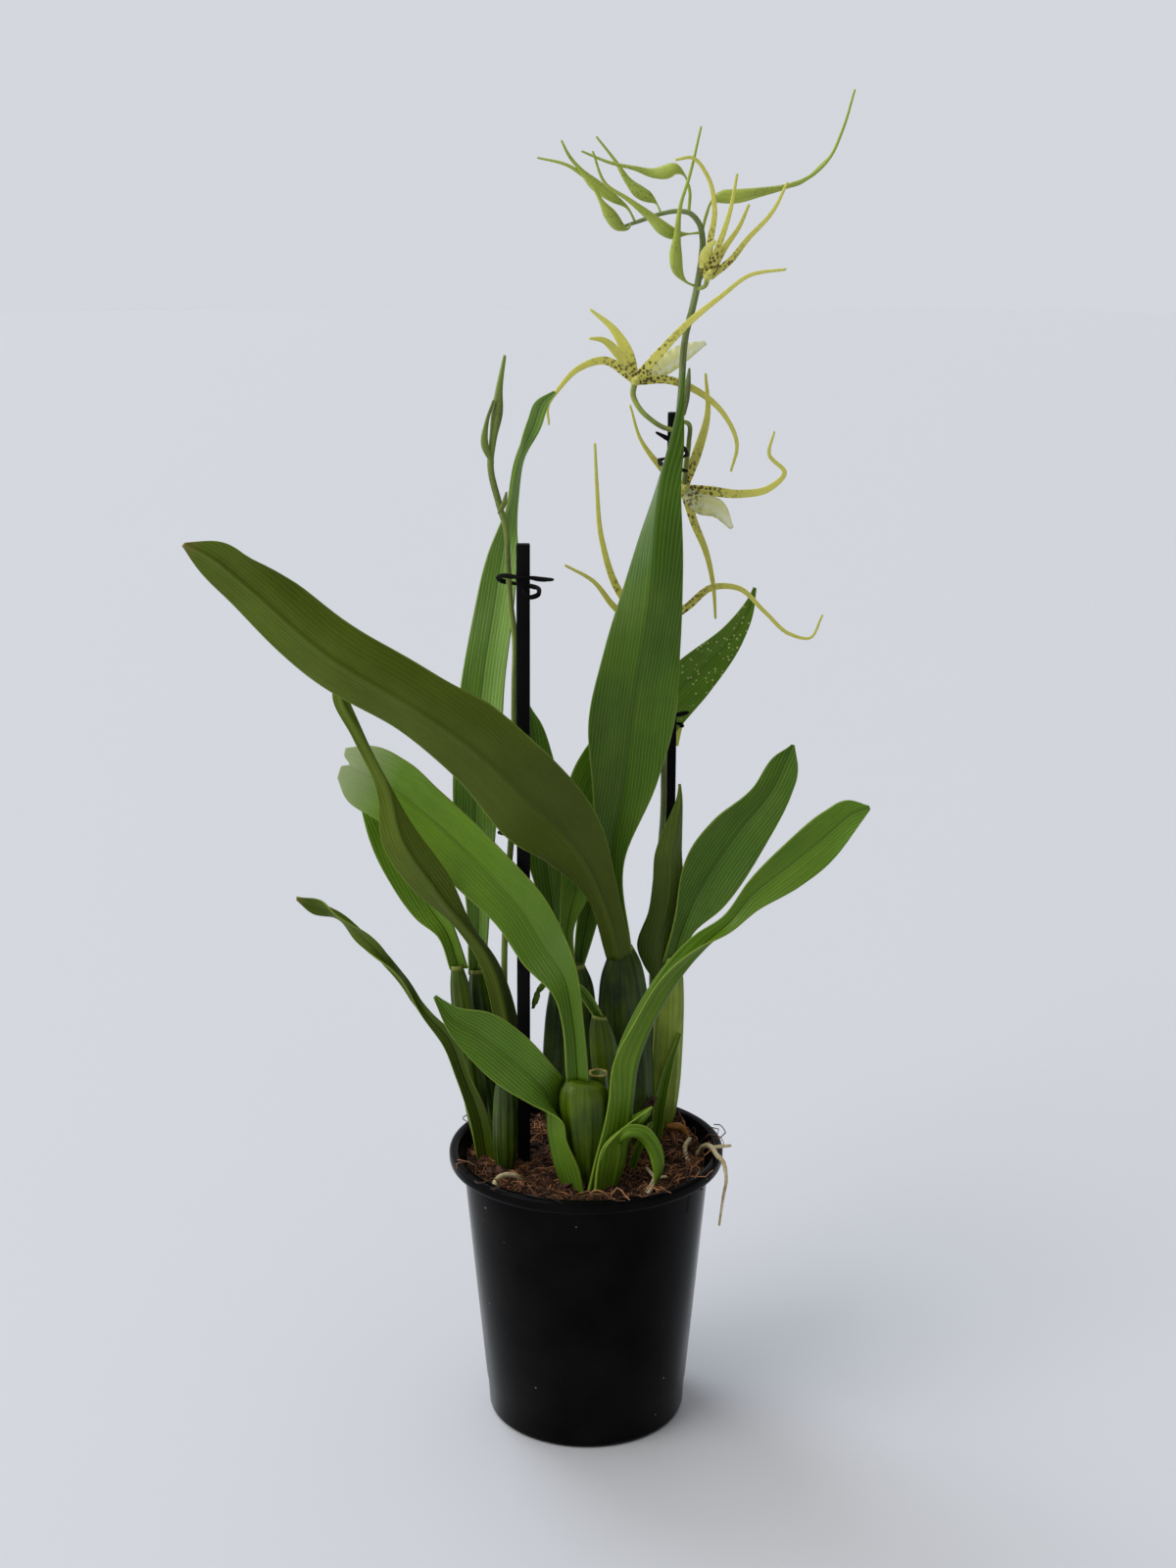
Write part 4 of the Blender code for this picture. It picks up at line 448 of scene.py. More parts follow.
# Margin that curls: its side, how far it moves toward the under face, and the shares of the
# length between which it does so
LEAF_CURLS = {"leaf_left_arch": (-1, -6.0, 0.38, 0.92), "leaf_tall_back": (1, -3.0, 0.30, 0.75)}
# Leaf whose blunt tip is notched: where across the blade, how wide, how deep
LEAF_NOTCHES = {"leaf_front_apical": (0.15, 0.22, 4.0)}
ROWS_PER_STATION = 10
BLADE_COLUMNS = 33
FOLD_POWER = 1.12               # nearer one for a sharper fold along the midrib
CREASE_WIDTH = 0.9
CREASE_DEPTH = 0.4
MIDRIB_WIDTH = 1.1              # half width of the blade's thick middle
PETIOLE_LENGTH = 22             # over which a leaf's foot is thicker
PETIOLE_SWELL = 0.35
TIP_LENGTH = 0.06               # share of the length that thins to the tip
TIP_LEFT = 0.45                 # share of the thickness that is left there
PLEATS = 4                      # raised vein ridges on each half of a blade
PLEAT_FROM = 6                  # half width at which they stand at full height
WAVE_FROM = 9                   # half width at which the margin's waves do
WAVE_START = 4                  # they rise over the first quarter of the length
WAVE_STRETCH = 8.5              # length over which a wave turns by one radian
WAVE_SHIFT = 1.9                # between the waves of the two margins
CURL_FROM = 0.35                # share of the half width at which a curl starts
CURL_POWER = 1.7
CURL_ENDS = 0.1                 # share of the length over which it starts and stops
NOTCH_ENDS = (0.9, 0.1)         # share of the length where a notch starts, and that it takes
WALL_OFFSET = -0.6              # most of a blade's thickness lies under its upper face
VEIN_SPACING = 1.5              # between the light lines of the parallel veins
BAND_PERIOD = 0.31416           # a band texture of scale 1 repeats after this length
LEAF_DEPTH = 0.52               # brightness of a blade's darkest green against its face, also used as painted shade
OLD_FOOT_SHADE = (0.30, 0.80, 0.75)   # painted shade at the foot: where it starts and ends, and how dark
YOUNG_FOOT_SHADE = (0.34, 0.66, 0.95)

LIP_ROWS = 40
LIP_COLUMNS = 19
LIP_BREADTH = 1.15
LIP_LEAST = 0.4                 # smallest half width
LIP_FRILL = 0.7
LIP_RIPPLE = 1.5                # radians of the frill for each millimetre of the lip
LIP_LAG = 3                     # between the frills of the two margins
LIP_FROM = 3                    # half width at which the frill is full
LIP_KEEL = (0.18, 0.08, 0.5)    # where each keel runs, its breadth and its height
LIP_KEEL_FADE = 4               # how fast the keels fade along the lip
LIP_BOW = 0.30                  # how far its margins bend back, as a share of the half width
TEPAL_THICKNESS = 0.95
TEPAL_CHANNEL = 0.18
FACING = (0, -1, 0.05)          # the way that flowers and stems show their faces

# Patterns: how many of each fit in a metre, which gives the size beside it
LEAF_PATCHES = 38.0             # warmer greens, 26 mm across
LEAF_GRAIN = 1300.0             # cells of the cuticle, drawn 0.8 mm across so that they show
LEAF_SPECKS = 420.0             # 2.4 mm apart
SKIN_PATCHES = 60.0             # 17 mm
SKIN_SPOTS = 700.0              # 1.4 mm apart
TEPAL_GRAIN = 260.0             # 4 mm
TEPAL_BLOTCHES = 560.0          # 1.8 mm apart
DRY_PATCHES = 70.0              # 14 mm
DRY_GRAIN = 300.0               # 3 mm, the usual length of a fibre in dead tissue
BED_GRAIN = 420.0               # 2.4 mm
BARK_GRAIN = 500.0              # 2 mm
COIR_GRAIN = 120.0              # 8 mm, as its colour changes slowly along it
VELAMEN_GRAIN = 600.0           # 1.7 mm
STAINED_GRAIN = 350.0           # 3 mm
PLASTIC_WEAR = 35.0             # 29 mm
PLASTIC_DUST = 150.0            # 7 mm apart
POT_GRAIN = 900.0               # 1.1 mm
STAKE_GRAIN = 700.0             # 1.4 mm
BOARD_CLOUDS = 8.0              # 125 mm

# Stage, in metres
FLOOR_RADIUS = 14.0
SURROUND_STRENGTH = 0.66
BACKDROP_STRENGTH = 0.72        # where the camera sees the surround, the same on all sides
SURROUND_SIDES = (              # axis, where a side starts and is full, and what it adds
    (0, -0.35, -0.80, 1.0),     # window side on the left
    (0, 0.35, 0.85, -0.42),     # dim side on the right
    (1, -0.10, -0.80, -0.25),   # room behind the camera
)
CAMERA_LENS = 50.0
CAMERA_SENSOR = 36.0
CAMERA_PLACE = (0.0009, -0.961, 0.5585)
CAMERA_TILT = 75.55
LIGHTS = (                      # name, place, point it shines at, angle it fills, power, tint
    ("window_front_left", (-1.5, -1.0, 1.8), (0, 0, 0.3), 40, 0.95, "#FFFDF8"),
    ("skylight_back_left", (-0.7, 0.9, 2.0), (0, 0, 0.35), 22, 0.80, "#E4EEFF"),
)

# Rods, and how pieces grow from one another
ROD_LEAST = 0.35                # smallest radius of a rod
ROD_KNOBS = 2.2                 # size of the knobs on a rough rod
STEM_POINTS = 400
STALK_ROOT = 0.3                # share of a stem's radius at which a stalk starts inside it
LEAF_ROOT = 3.0                 # how far a leaf's foot reaches into its pseudobulb
FREE_FEET = ("leaf_far_right", "leaf_front_basal", "leaf_left_twisted", "leaf_left_folded",
             "bract_curled", "bract_tall", "bract_sliver", "husk_brown")    # on no pseudobulb


def length(label, millimetres, about):
    """A size that the panel shows in scene units."""
    return FloatProperty(name=label, description=about, default=millimetres * MM, min=0.0,
                         unit="LENGTH", precision=5)


def colour(label, code, about):
    """A colour that the panel shows as a swatch."""
    return FloatVectorProperty(name=label, description=about, default=srgb(code), size=4,
                               min=0.0, max=1.0, subtype="COLOR")


class OrchidSizes(PropertyGroup):
    """Sizes that shape the pot, the mix and the plant's skin."""
    pot_rim: length("Rim radius", 65.0, "Outer radius of the pot's rolled rim")
    pot_height: length("Pot height", 134.0, "Height of the pot from foot to rim")
    pot_base: length("Base radius", 47.0, "Outer radius of the pot at its foot")
    pot_wall: length("Pot wall", 1.5, "Thickness of the pot's moulded wall")
    leaf_blade: length("Leaf blade", 0.75, "Thickness of a leaf away from its midrib")
    leaf_midrib: length("Leaf midrib", 2.1, "Thickness of a leaf along its midrib and in its petiole")
    margin_wave: length("Margin wave", 0.55, "Height of the slow waves along a leaf's margins")
    vein_pleat: length("Vein pleat", 0.06, "Height of the pleats that a leaf's main veins raise")
    lip_sheet: length("Flower lip", 0.6, "Thickness of a flower's lip")
    stake_edge: length("Stake edge", 0.7, "Rounding of a plant stake's long edges")
    chip_length: length("Bark chip", 12.0, "Usual length of a chip of bark in the mix")
    chip_count: IntProperty(name="Bark chips", description="Chips of bark that lie on the mix",
                            default=130, min=0, max=800)
    fibre_length: length("Coir fibre", 26.0, "Usual length of a loose coir fibre")
    fibre_count: IntProperty(name="Coir fibres", description="Loose coir fibres on the mix",
                             default=4000, min=0, max=4100)


class OrchidColours(PropertyGroup):
    """Colours of the plant, its mix and its pot."""
    mature_face: colour("Mature leaf", "#40650C", "Upper face of a full-grown leaf")
    mature_back: colour("Mature leaf back", "#4A6C10", "Under face of a full-grown leaf")
    old_face: colour("Old leaf", "#4A5E0A", "Upper face of an old dark leaf")
    old_back: colour("Old leaf back", "#58680C", "Under face of an old dark leaf")
    fresh_face: colour("Fresh leaf", "#53790E", "Upper face of this year's leaf")
    fresh_back: colour("Fresh leaf back", "#557810", "Under face of this year's leaf")
    vein: colour("Leaf vein", "#7F9434", "Midrib and raised veins")
    bulb_old: colour("Old pseudobulb", "#41560E", "Skin of an old pseudobulb")
    bulb_new: colour("New pseudobulb", "#52680A", "Skin of this year's pseudobulb")
    scar: colour("Leaf ring", "#9DA04E", "Pale ring where a leaf joins its pseudobulb")
    sheath: colour("Papery sheath", "#96A83C", "Dry sheath at the foot of a growth")
    husk: colour("Brown husk", "#5A4028", "Dead husk and torn sheath edges")
    spike: colour("Flower spike", "#82925A", "Stem of the flower spike")
    spike_flush: colour("Spike flush", "#565A2C", "Purple brown flush on the spike")
    bud: colour("Bud", "#AFBC50", "Closed flower bud")
    tepal: colour("Tepal", "#D4CE66", "Narrow petals and sepals")
    spot: colour("Flower spot", "#4A2814", "Maroon spots near the flower's centre")
    lip: colour("Lip", "#DAD9A0", "Broad lip of the flower")
    root: colour("Root", "#E2D4AE", "Dry spongy skin of an aerial root")
    root_old: colour("Old root", "#A8752F", "Stained old root")
    bark: colour("Bark", "#56321F", "Chips of pine bark")
    coir: colour("Coir", "#54301E", "Coconut fibre")
    pot: colour("Pot", "#050506", "Moulded pot plastic")
    stake: colour("Stake", "#0C0C0E", "Plant stake and twist ties")
    floor: colour("Floor", "#D3D3D4", "Studio floor")


def smooth(rows, count):
    """Points of a smooth curve through the rows; the first three columns are x, y and z."""
    rows = np.array(rows, float)
    gaps = np.linalg.norm(np.diff(rows[:, :3], axis=0), axis=1)
    along = np.concatenate([[0.0], np.cumsum(gaps)])
    slopes = np.gradient(rows, along, axis=0)
    place = np.interp(np.linspace(0, len(rows) - 1, count), range(len(rows)), along)
    k = np.clip(np.searchsorted(along, place, side="right") - 1, 0, len(along) - 2)
    span = (along[k + 1] - along[k])[:, None]
    t = (place - along[k])[:, None] / span
    return ((1 + 2 * t) * (1 - t) ** 2 * rows[k] + t * (1 - t) ** 2 * span * slopes[k]
            + t * t * (3 - 2 * t) * rows[k + 1] + t * t * (t - 1) * span * slopes[k + 1])


def unit(vectors):
    """The vectors at length one."""
    return vectors / np.maximum(np.linalg.norm(vectors, axis=-1, keepdims=True), 1e-9)


def run_length(middle):
    """Distance along a row of points from its first one."""
    return np.concatenate([[0.0], np.cumsum(np.linalg.norm(np.diff(middle, axis=0), axis=1))])


def lay_grid(bm, points, places, skin=0):
    """Quads laid over rows of points in millimetres; places holds a pattern's own coordinates."""
    rows, columns = points.shape[:2]
    mark = bm.verts.layers.float_vector.get("place") or bm.verts.layers.float_vector.new("place")
    verts = bmesh.ops.create_grid(bm, x_segments=columns - 1, y_segments=rows - 1, size=0.5)["verts"]
    for vert in verts:
        column = round((vert.co.x + 0.5) * (columns - 1))
        row = round((vert.co.y + 0.5) * (rows - 1))
        vert.co = points[row, column] * MM
        vert[mark] = places[row, column]
    faces = list(dict.fromkeys(face for vert in verts for face in vert.link_faces))
    for face in faces:
        face.material_index = skin
    return verts, faces


def lay_tube(bm, rings, places, skin=0):
    """A closed skin over rings of points: the seam is merged and both ends shrink to a pole."""
    rings = np.concatenate([rings, rings[:, :1]], axis=1)
    places = np.concatenate([places, places[:, :1]], axis=1)
    verts, faces = lay_grid(bm, rings, places, skin)
    bmesh.ops.remove_doubles(bm, verts=verts, dist=MERGE)
    faces = [face for face in faces if face.is_valid]
    bmesh.ops.recalc_face_normals(bm, faces=faces)


def make_piece(bm, name, finishes, slot, *nodes):
    """An object from the bmesh that rides with the plant and stands for the given nodes."""
    mesh = bpy.data.meshes.new(name)
    bm.to_mesh(mesh)
    bm.free()
    mesh.shade_smooth()
    for made in finishes:
        mesh.materials.append(made)
    piece = bpy.data.objects.new(name, mesh)
    bpy.context.scene.collection.objects.link(piece)
    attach(piece, "root")
    if nodes:
        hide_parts(*nodes)
    return piece


def rod_rings(rows, count, sides, ends=3, flat=None, channel=0.0, ribs=(0, 0.0), twist=0.0,
              rough=0.0, face=FACING, least=ROD_LEAST):
    """Rings and pattern places of a tapering rod with rounded ends.

    flat is the thickness of a flattened rod, channel hollows its face, ribs is a count of raised
    ribs with their share of the radius, twist turns the section by that angle along the rod, and
    least is the smallest radius.
    """
    rows = smooth(rows, count)
    middle, radius = rows[:, :3], np.maximum(rows[:, 3], least)
    heading = unit(np.gradient(middle, axis=0))
    lean = [radians(90 * k / ends) for k in range(ends)]
    first = [middle[0] - heading[0] * radius[0] * cos(a) for a in lean]
    last = [middle[-1] + heading[-1] * radius[-1] * cos(a) for a in lean[::-1]]
    rounding = [max(sin(a), 1e-4) for a in lean]
    middle = np.concatenate([first, middle, last])
    heading = np.concatenate([[heading[0]] * ends, heading, [heading[-1]] * ends])
    swell = np.concatenate([rounding, np.ones(count), rounding[::-1]])
    radius = np.concatenate([[radius[0]] * ends, radius, [radius[-1]] * ends]) * swell
    if rough:
        radius = radius * (1 + rough * np.array([noise.noise(Vector(p) / ROD_KNOBS) for p in middle]))
    facing = np.broadcast_to(np.array(face, float), middle.shape)
    front = unit(facing - heading * np.sum(facing * heading, axis=1, keepdims=True))
    side = np.cross(heading, front)
    depth = np.minimum(radius, swell * flat / 2) if flat else radius
    along = run_length(middle)
    share = along / along[-1]
    rings, places = [], []
    for j in range(sides):
        a = TWO_PI * (j + 0.5) / sides
        rib = 1 + ribs[1] * (cos(ribs[0] * a) - 1) / 2 if ribs[0] else 1
        turn = a + twist * share
        across = radius * rib * cos(a)
        out = depth * rib * sin(a) + channel * radius * cos(a) ** 2
        if twist:
            across, out = (across * np.cos(twist * share) - out * np.sin(twist * share),
                           across * np.sin(twist * share) + out * np.cos(twist * share))
        rings.append(middle + side * across[:, None] + front * out[:, None])
        places.append(np.stack([along, np.full(len(along), cos(a)), share], axis=1))
    rings, places = np.stack(rings, axis=1), np.stack(places, axis=1)
    rings[0], rings[-1] = middle[0], middle[-1]
    return rings, places


def rooted(rows, stem):
    """Stalk rows whose first point is moved inside the stem that the stalk grows from."""
    stem = smooth(stem, STEM_POINTS)
    start = np.array(rows[0][:3], float)
    nearest = stem[np.argmin(np.linalg.norm(stem[:, :3] - start, axis=1))]
    start = nearest[:3] + unit(start - nearest[:3]) * nearest[3] * STALK_ROOT
    return ((*start, rows[0][3]), *rows[1:])


def mix_height(x, y):
    """Uneven top of the bark and coir, heaped against the rim at the back right."""
    away = (x - HEAP_PLACE[0]) ** 2 + (y - HEAP_PLACE[1]) ** 2
    heap = HEAP_RISE * exp(-away / (2 * HEAP_SPREAD ** 2))
    lumps = 0.8 * sin(0.31 * x + 0.4) * cos(0.27 * y - 0.9) + 0.6 * sin(0.53 * y + 0.21 * x)
    return MIX_LEVEL + heap + lumps


def add(tree, kind, feeds=None, **settings):
    """A shader node with its settings; feeds gives each input a link or a fixed value."""
    node = tree.nodes.new("ShaderNode" + kind)
    for key, value in settings.items():
        setattr(node, key, value)
    for key, value in (feeds or {}).items():
        if isinstance(value, bpy.types.NodeSocket):
            tree.links.new(value, node.inputs[key])
        else:
            node.inputs[key].default_value = value
    return node


def new_finish(name, fixed):
    """A node material whose Principled shader has the fixed values; gives its tree and shader."""
    made = bpy.data.materials.new(name)
    made.use_nodes = True
    shader = made.node_tree.nodes["Principled BSDF"]
    for key, value in fixed.items():
        shader.inputs[key].default_value = value
    return made, made.node_tree, shader


def wash(tree, base, over, by, start, end, low, high):
    """The base colour with another laid over it as a value passes from start to end."""
    share = add(tree, "MapRange", {0: by, 1: start, 2: end, 3: low, 4: high})
    return add(tree, "Mix", {0: share.outputs[0], 6: base, 7: over}, data_type="RGBA").outputs[2]


def dotted(tree, base, over, cells, sizes, strength, where, start, end):
    """The base colour with dots on the cells' middles, only where a value lies past its start."""
    dot = add(tree, "MapRange", {0: cells, 1: sizes[0], 2: sizes[1], 3: strength, 4: 0.0})
    part = add(tree, "MapRange", {0: where, 1: start, 2: end})
    seen = add(tree, "Math", {0: dot.outputs[0], 1: part.outputs[0]}, operation="MULTIPLY")
    return add(tree, "Mix", {0: seen.outputs[0], 6: base, 7: over}, data_type="RGBA").outputs[2]


def surface(tree, shader, base, gloss, relief):
    """Links the colour, a roughness that follows a pattern, and a fine relief.

    gloss holds a pattern and the roughness at its low and high end; relief holds a pattern, its
    strength and its depth in metres.
    """
    tree.links.new(base, shader.inputs["Base Color"])
    if gloss:
        by, low, high = gloss
        shine = add(tree, "MapRange", {0: by, 1: 0.3, 2: 0.7, 3: low, 4: high})
        tree.links.new(shine.outputs[0], shader.inputs["Roughness"])
    by, strength, depth = relief
    bump = add(tree, "Bump", {"Height": by, "Strength": strength, "Distance": depth})
    tree.links.new(bump.outputs[0], shader.inputs["Normal"])


def leaf_cuticle(name, face, glow, roughness, mottle=0.5, specks=0.0, veins=0.44, sheen=0.0,
                 tip=None, tip_from=0.975, foot=(0.0, 0.24, 0.32), midrib=0.10):
    """Waxy leaf skin: parallel veins run the leaf's length under a satin cuticle.

    The veins give the eye fine long stripes of the deep green and of the light that glows through
    the blade, the midrib one narrow line in a groove darkened by painted shade, the margin a thin
    light edge, and the cuticle a soft sheen that varies from patch to patch. Painted shade also
    darkens the foot, and the pale tip of a young leaf is painted sheen.
    """
    made, tree, shader = new_finish(name, {
        "IOR": 1.45, "Specular IOR Level": 0.22, "Subsurface Weight": 0.08,
        "Subsurface Radius": (0.0015, 0.003, 0.0006), "Subsurface Scale": 0.5,
        "Coat Weight": sheen, "Coat Roughness": 0.33})
    place = add(tree, "Attribute", attribute_name="place").outputs["Vector"]
    _, across, share = add(tree, "SeparateXYZ", {0: place}).outputs
    local = add(tree, "TexCoord").outputs["Object"]
    # The darkest green tints the mottle and the veins, and is the painted shade in the midrib's
    # groove and at the foot
    deep = tuple(part * LEAF_DEPTH for part in face[:3]) + (1.0,)
    # Colour drifts slowly along the blade, and changes quickly across it
    patterns = []
    for stretch, detail, broken in (((0.035, 0.11, 0.0), 3.0, 0.6), ((0.02, 1.6, 0.0), 4.0, 0.7)):
        drawn = add(tree, "VectorMath", {0: place, 1: stretch}, operation="MULTIPLY")
        cloud = add(tree, "TexNoise", {"Vector": drawn.outputs[0], "Scale": 1.0, "Detail": detail,
                                       "Roughness": broken})
        patterns.append(cloud.outputs[0])
    drift, streak = patterns
    patch = add(tree, "TexNoise", {"Vector": local, "Scale": LEAF_PATCHES, "Detail": 3.0}).outputs[0]
    fine = add(tree, "TexNoise", {"Vector": local, "Scale": LEAF_GRAIN, "Detail": 2.0}).outputs[0]
    base = wash(tree, face, deep, drift, 0.36, 0.70, 0.0, mottle)
    base = wash(tree, base, glow, patch, 0.42, 0.70, 0.0, 0.16)
    base = wash(tree, base, deep, streak, 0.48, 0.70, 0.0, veins)
    # The parallel veins show as light lines on the blade
    ribs = add(tree, "CombineXYZ", {0: across}).outputs[0]
    wave = add(tree, "TexWave", {"Vector": ribs, "Scale": BAND_PERIOD / VEIN_SPACING,
                                 "Distortion": 1.6, "Detail": 2.0, "Detail Scale": 0.6}).outputs[1]
    aside = add(tree, "Math", {0: across}, operation="ABSOLUTE").outputs[0]
    edge = add(tree, "Attribute", attribute_name="edge").outputs["Fac"]
    reach, end, shade = foot
    for over, by, start, stop, low, high in (
            (glow, wave, 0.62, 1.0, 0.0, veins * 0.75),     # veins
            (deep, aside, 0.1, 1.3, 0.55, 0.0),             # painted shade in the groove along the midrib
            (glow, aside, 0.05, 0.50, midrib, 0.0),         # light line inside it
            (deep, share, reach, end, shade, 0.0),          # painted shade at the foot
            (glow, edge, 0.955, 1.0, 0.0, 0.75)):           # thin light margin
        base = wash(tree, base, over, by, start, stop, low, high)
    if specks:
        cells = add(tree, "TexVoronoi", {"Vector": local, "Scale": LEAF_SPECKS}).outputs[0]
        base = dotted(tree, base, srgb("#D2D48A"), cells, (0.14, 0.26), specks, share, 0.5, 0.8)
    # The tip takes its own colour toward the end: a dry brown on old leaves, and on young ones a pale
    # grey green that is painted sheen
    if tip:
        base = wash(tree, base, srgb(tip), share, tip_from, 1.0, 0.0, 0.8)
    height = add(tree, "Math", {0: wave, 1: fine}, operation="ADD").outputs[0]
    height = add(tree, "Math", {0: height, 1: streak}, operation="ADD").outputs[0]
    surface(tree, shader, base, (drift, roughness - 0.06, roughness + 0.10), (height, 0.4, 0.0003))
    return made


def stem_skin(name, face, shade, roughness, spot=None, blend=0.5, strands=2.0, ring=None):
    """Skin of a stem or pseudobulb: long streaks of two greens under a satin cuticle.

    The streaks follow the growth's length, which gives the eye its ridges between the real ones.
    A pseudobulb also has the pale scar ring at its top and a dry dusty foot.
    """
    made, tree, shader = new_finish(name, {
        "IOR": 1.45, "Specular IOR Level": 0.3, "Subsurface Weight": 0.06,
        "Subsurface Radius": (0.002, 0.003, 0.001), "Subsurface Scale": 0.4})
    local = add(tree, "TexCoord").outputs["Object"]
    place = add(tree, "Attribute", attribute_name="place").outputs["Vector"]
    drawn = add(tree, "VectorMath", {0: place, 1: (0.03, strands, 0.0)}, operation="MULTIPLY")
    streak = add(tree, "TexNoise", {0: drawn.outputs[0], "Scale": 1.0, "Detail": 3.0,
                                    "Roughness": 0.55}).outputs[0]
    patch = add(tree, "TexNoise", {"Vector": local, "Scale": SKIN_PATCHES, "Detail": 4.0}).outputs[0]
    mixed = add(tree, "Math", {0: streak, 1: patch}, operation="ADD").outputs[0]
    base = wash(tree, face, shade, mixed, 0.75, 1.25, 0.0, 2 * blend)
    if spot:
        cells = add(tree, "TexVoronoi", {"Vector": local, "Scale": SKIN_SPOTS}).outputs[0]
        base = dotted(tree, base, spot, cells, (0.20, 0.34), 0.5, patch, 0.45, 0.6)
    if ring:
        share = add(tree, "SeparateXYZ", {0: place}).outputs[2]
        scar = add(tree, "MapRange", {0: share, 1: 0.978, 2: 0.990, 3: 0.0, 4: 0.6})
        top = add(tree, "MapRange", {0: share, 1: 1.0, 2: 1.012, 3: 1.0, 4: 0.0})
        scar = add(tree, "Math", {0: scar.outputs[0], 1: top.outputs[0]}, operation="MULTIPLY")
        base = add(tree, "Mix", {0: scar.outputs[0], 6: base, 7: ring}, data_type="RGBA").outputs[2]
        base = wash(tree, base, srgb("#6E5F36"), share, 0.05, 0.20, 0.55, 0.0)
    surface(tree, shader, base, (patch, roughness - 0.05, roughness + 0.12), (streak, 0.3, 0.0004))
    return made


def tepal_skin(name, face, spot, tip):
    """Flower tissue: translucent yellow green, blotched maroon near the flower's centre."""
    made, tree, shader = new_finish(name, {
        "IOR": 1.4, "Roughness": 0.5, "Subsurface Weight": 0.25,
        "Subsurface Radius": (0.004, 0.004, 0.001), "Subsurface Scale": 0.5})
    place = add(tree, "Attribute", attribute_name="place").outputs["Vector"]
    share = add(tree, "SeparateXYZ", {0: place}).outputs[2]
    local = add(tree, "TexCoord").outputs["Object"]
    fine = add(tree, "TexNoise", {"Vector": local, "Scale": TEPAL_GRAIN, "Detail": 3.0}).outputs[0]
    base = wash(tree, face, tip, share, 0.55, 1.0, 0.0, 0.7)
    base = wash(tree, base, srgb("#9BA63E"), fine, 0.35, 0.7, 0.0, 0.22)
    cells = add(tree, "TexVoronoi", {"Vector": local, "Scale": TEPAL_BLOTCHES}).outputs[0]
    away = add(tree, "Math", {0: 1.0, 1: share}, operation="SUBTRACT").outputs[0]
    base = dotted(tree, base, spot, cells, (0.36, 0.48), 0.9, away, 0.58, 0.82)
    surface(tree, shader, base, None, (fine, 0.25, 0.0004))
    return made


def dry_tissue(name, face, shade, roughness, grain=DRY_GRAIN, depth=0.0006, stretch=(1, 1, 1),
               toned=False):
    """Dead or corky plant tissue: matt, fibrous and blotched, each fibre in a tone of its own."""
    made, tree, shader = new_finish(name, {"IOR": 1.4})
    local = add(tree, "TexCoord").outputs["Object"]
    drawn = add(tree, "Mapping", {0: local, 3: stretch}).outputs[0]
    fine = add(tree, "TexNoise", {"Vector": drawn, "Scale": grain, "Detail": 5.0,
                                  "Roughness": 0.65}).outputs[0]
    patch = add(tree, "TexNoise", {"Vector": local, "Scale": DRY_PATCHES, "Detail": 3.0}).outputs[0]
    both = add(tree, "Math", {0: fine, 1: patch}, operation="ADD").outputs[0]
    amount, high = add(tree, "MapRange", {0: both, 1: 0.8, 2: 1.25}).outputs[0], 1.0
    if toned:
        place = add(tree, "Attribute", attribute_name="place").outputs["Vector"]
        tone = add(tree, "SeparateXYZ", {0: place}).outputs[1]
        spread = add(tree, "Math", {0: tone, 1: 1.2}, operation="POWER").outputs[0]
        amount = add(tree, "Math", {0: amount, 1: spread}, operation="ADD").outputs[0]
        high = 0.95
    base = wash(tree, face, shade, amount, 0.0, 1.0, 0.0, high)
    surface(tree, shader, base, (fine, roughness - 0.1, roughness + 0.08), (fine, 0.6, depth))
    return made


def moulded_plastic(name, face, roughness, dust, grain):
    """Injection moulded polypropylene: deep black with a soft broken gloss and a little dust."""
    made, tree, shader = new_finish(name, {"IOR": 1.36, "Specular IOR Level": 0.05})
    local = add(tree, "TexCoord").outputs["Object"]
    wear = add(tree, "TexNoise", {"Vector": local, "Scale": PLASTIC_WEAR, "Detail": 4.0}).outputs[0]
    fine = add(tree, "TexNoise", {"Vector": local, "Scale": grain, "Detail": 3.0}).outputs[0]
    cells = add(tree, "TexVoronoi", {"Vector": local, "Scale": PLASTIC_DUST}).outputs[0]
    base = wash(tree, face, srgb("#8A8378"), wear, 0.3, 0.8, 0.0, 0.02)
    base = dotted(tree, base, srgb("#A69C8C"), cells, (0.045, 0.075), dust, wear, 0.52, 0.58)
    surface(tree, shader, base, (wear, roughness, roughness + 0.07), (fine, 0.15, 0.0002))
    return made


def finish(name, maker, *given, **named):
    """The named material, made by its maker on first use."""
    return bpy.data.materials.get(name) or maker(name, *given, **named)


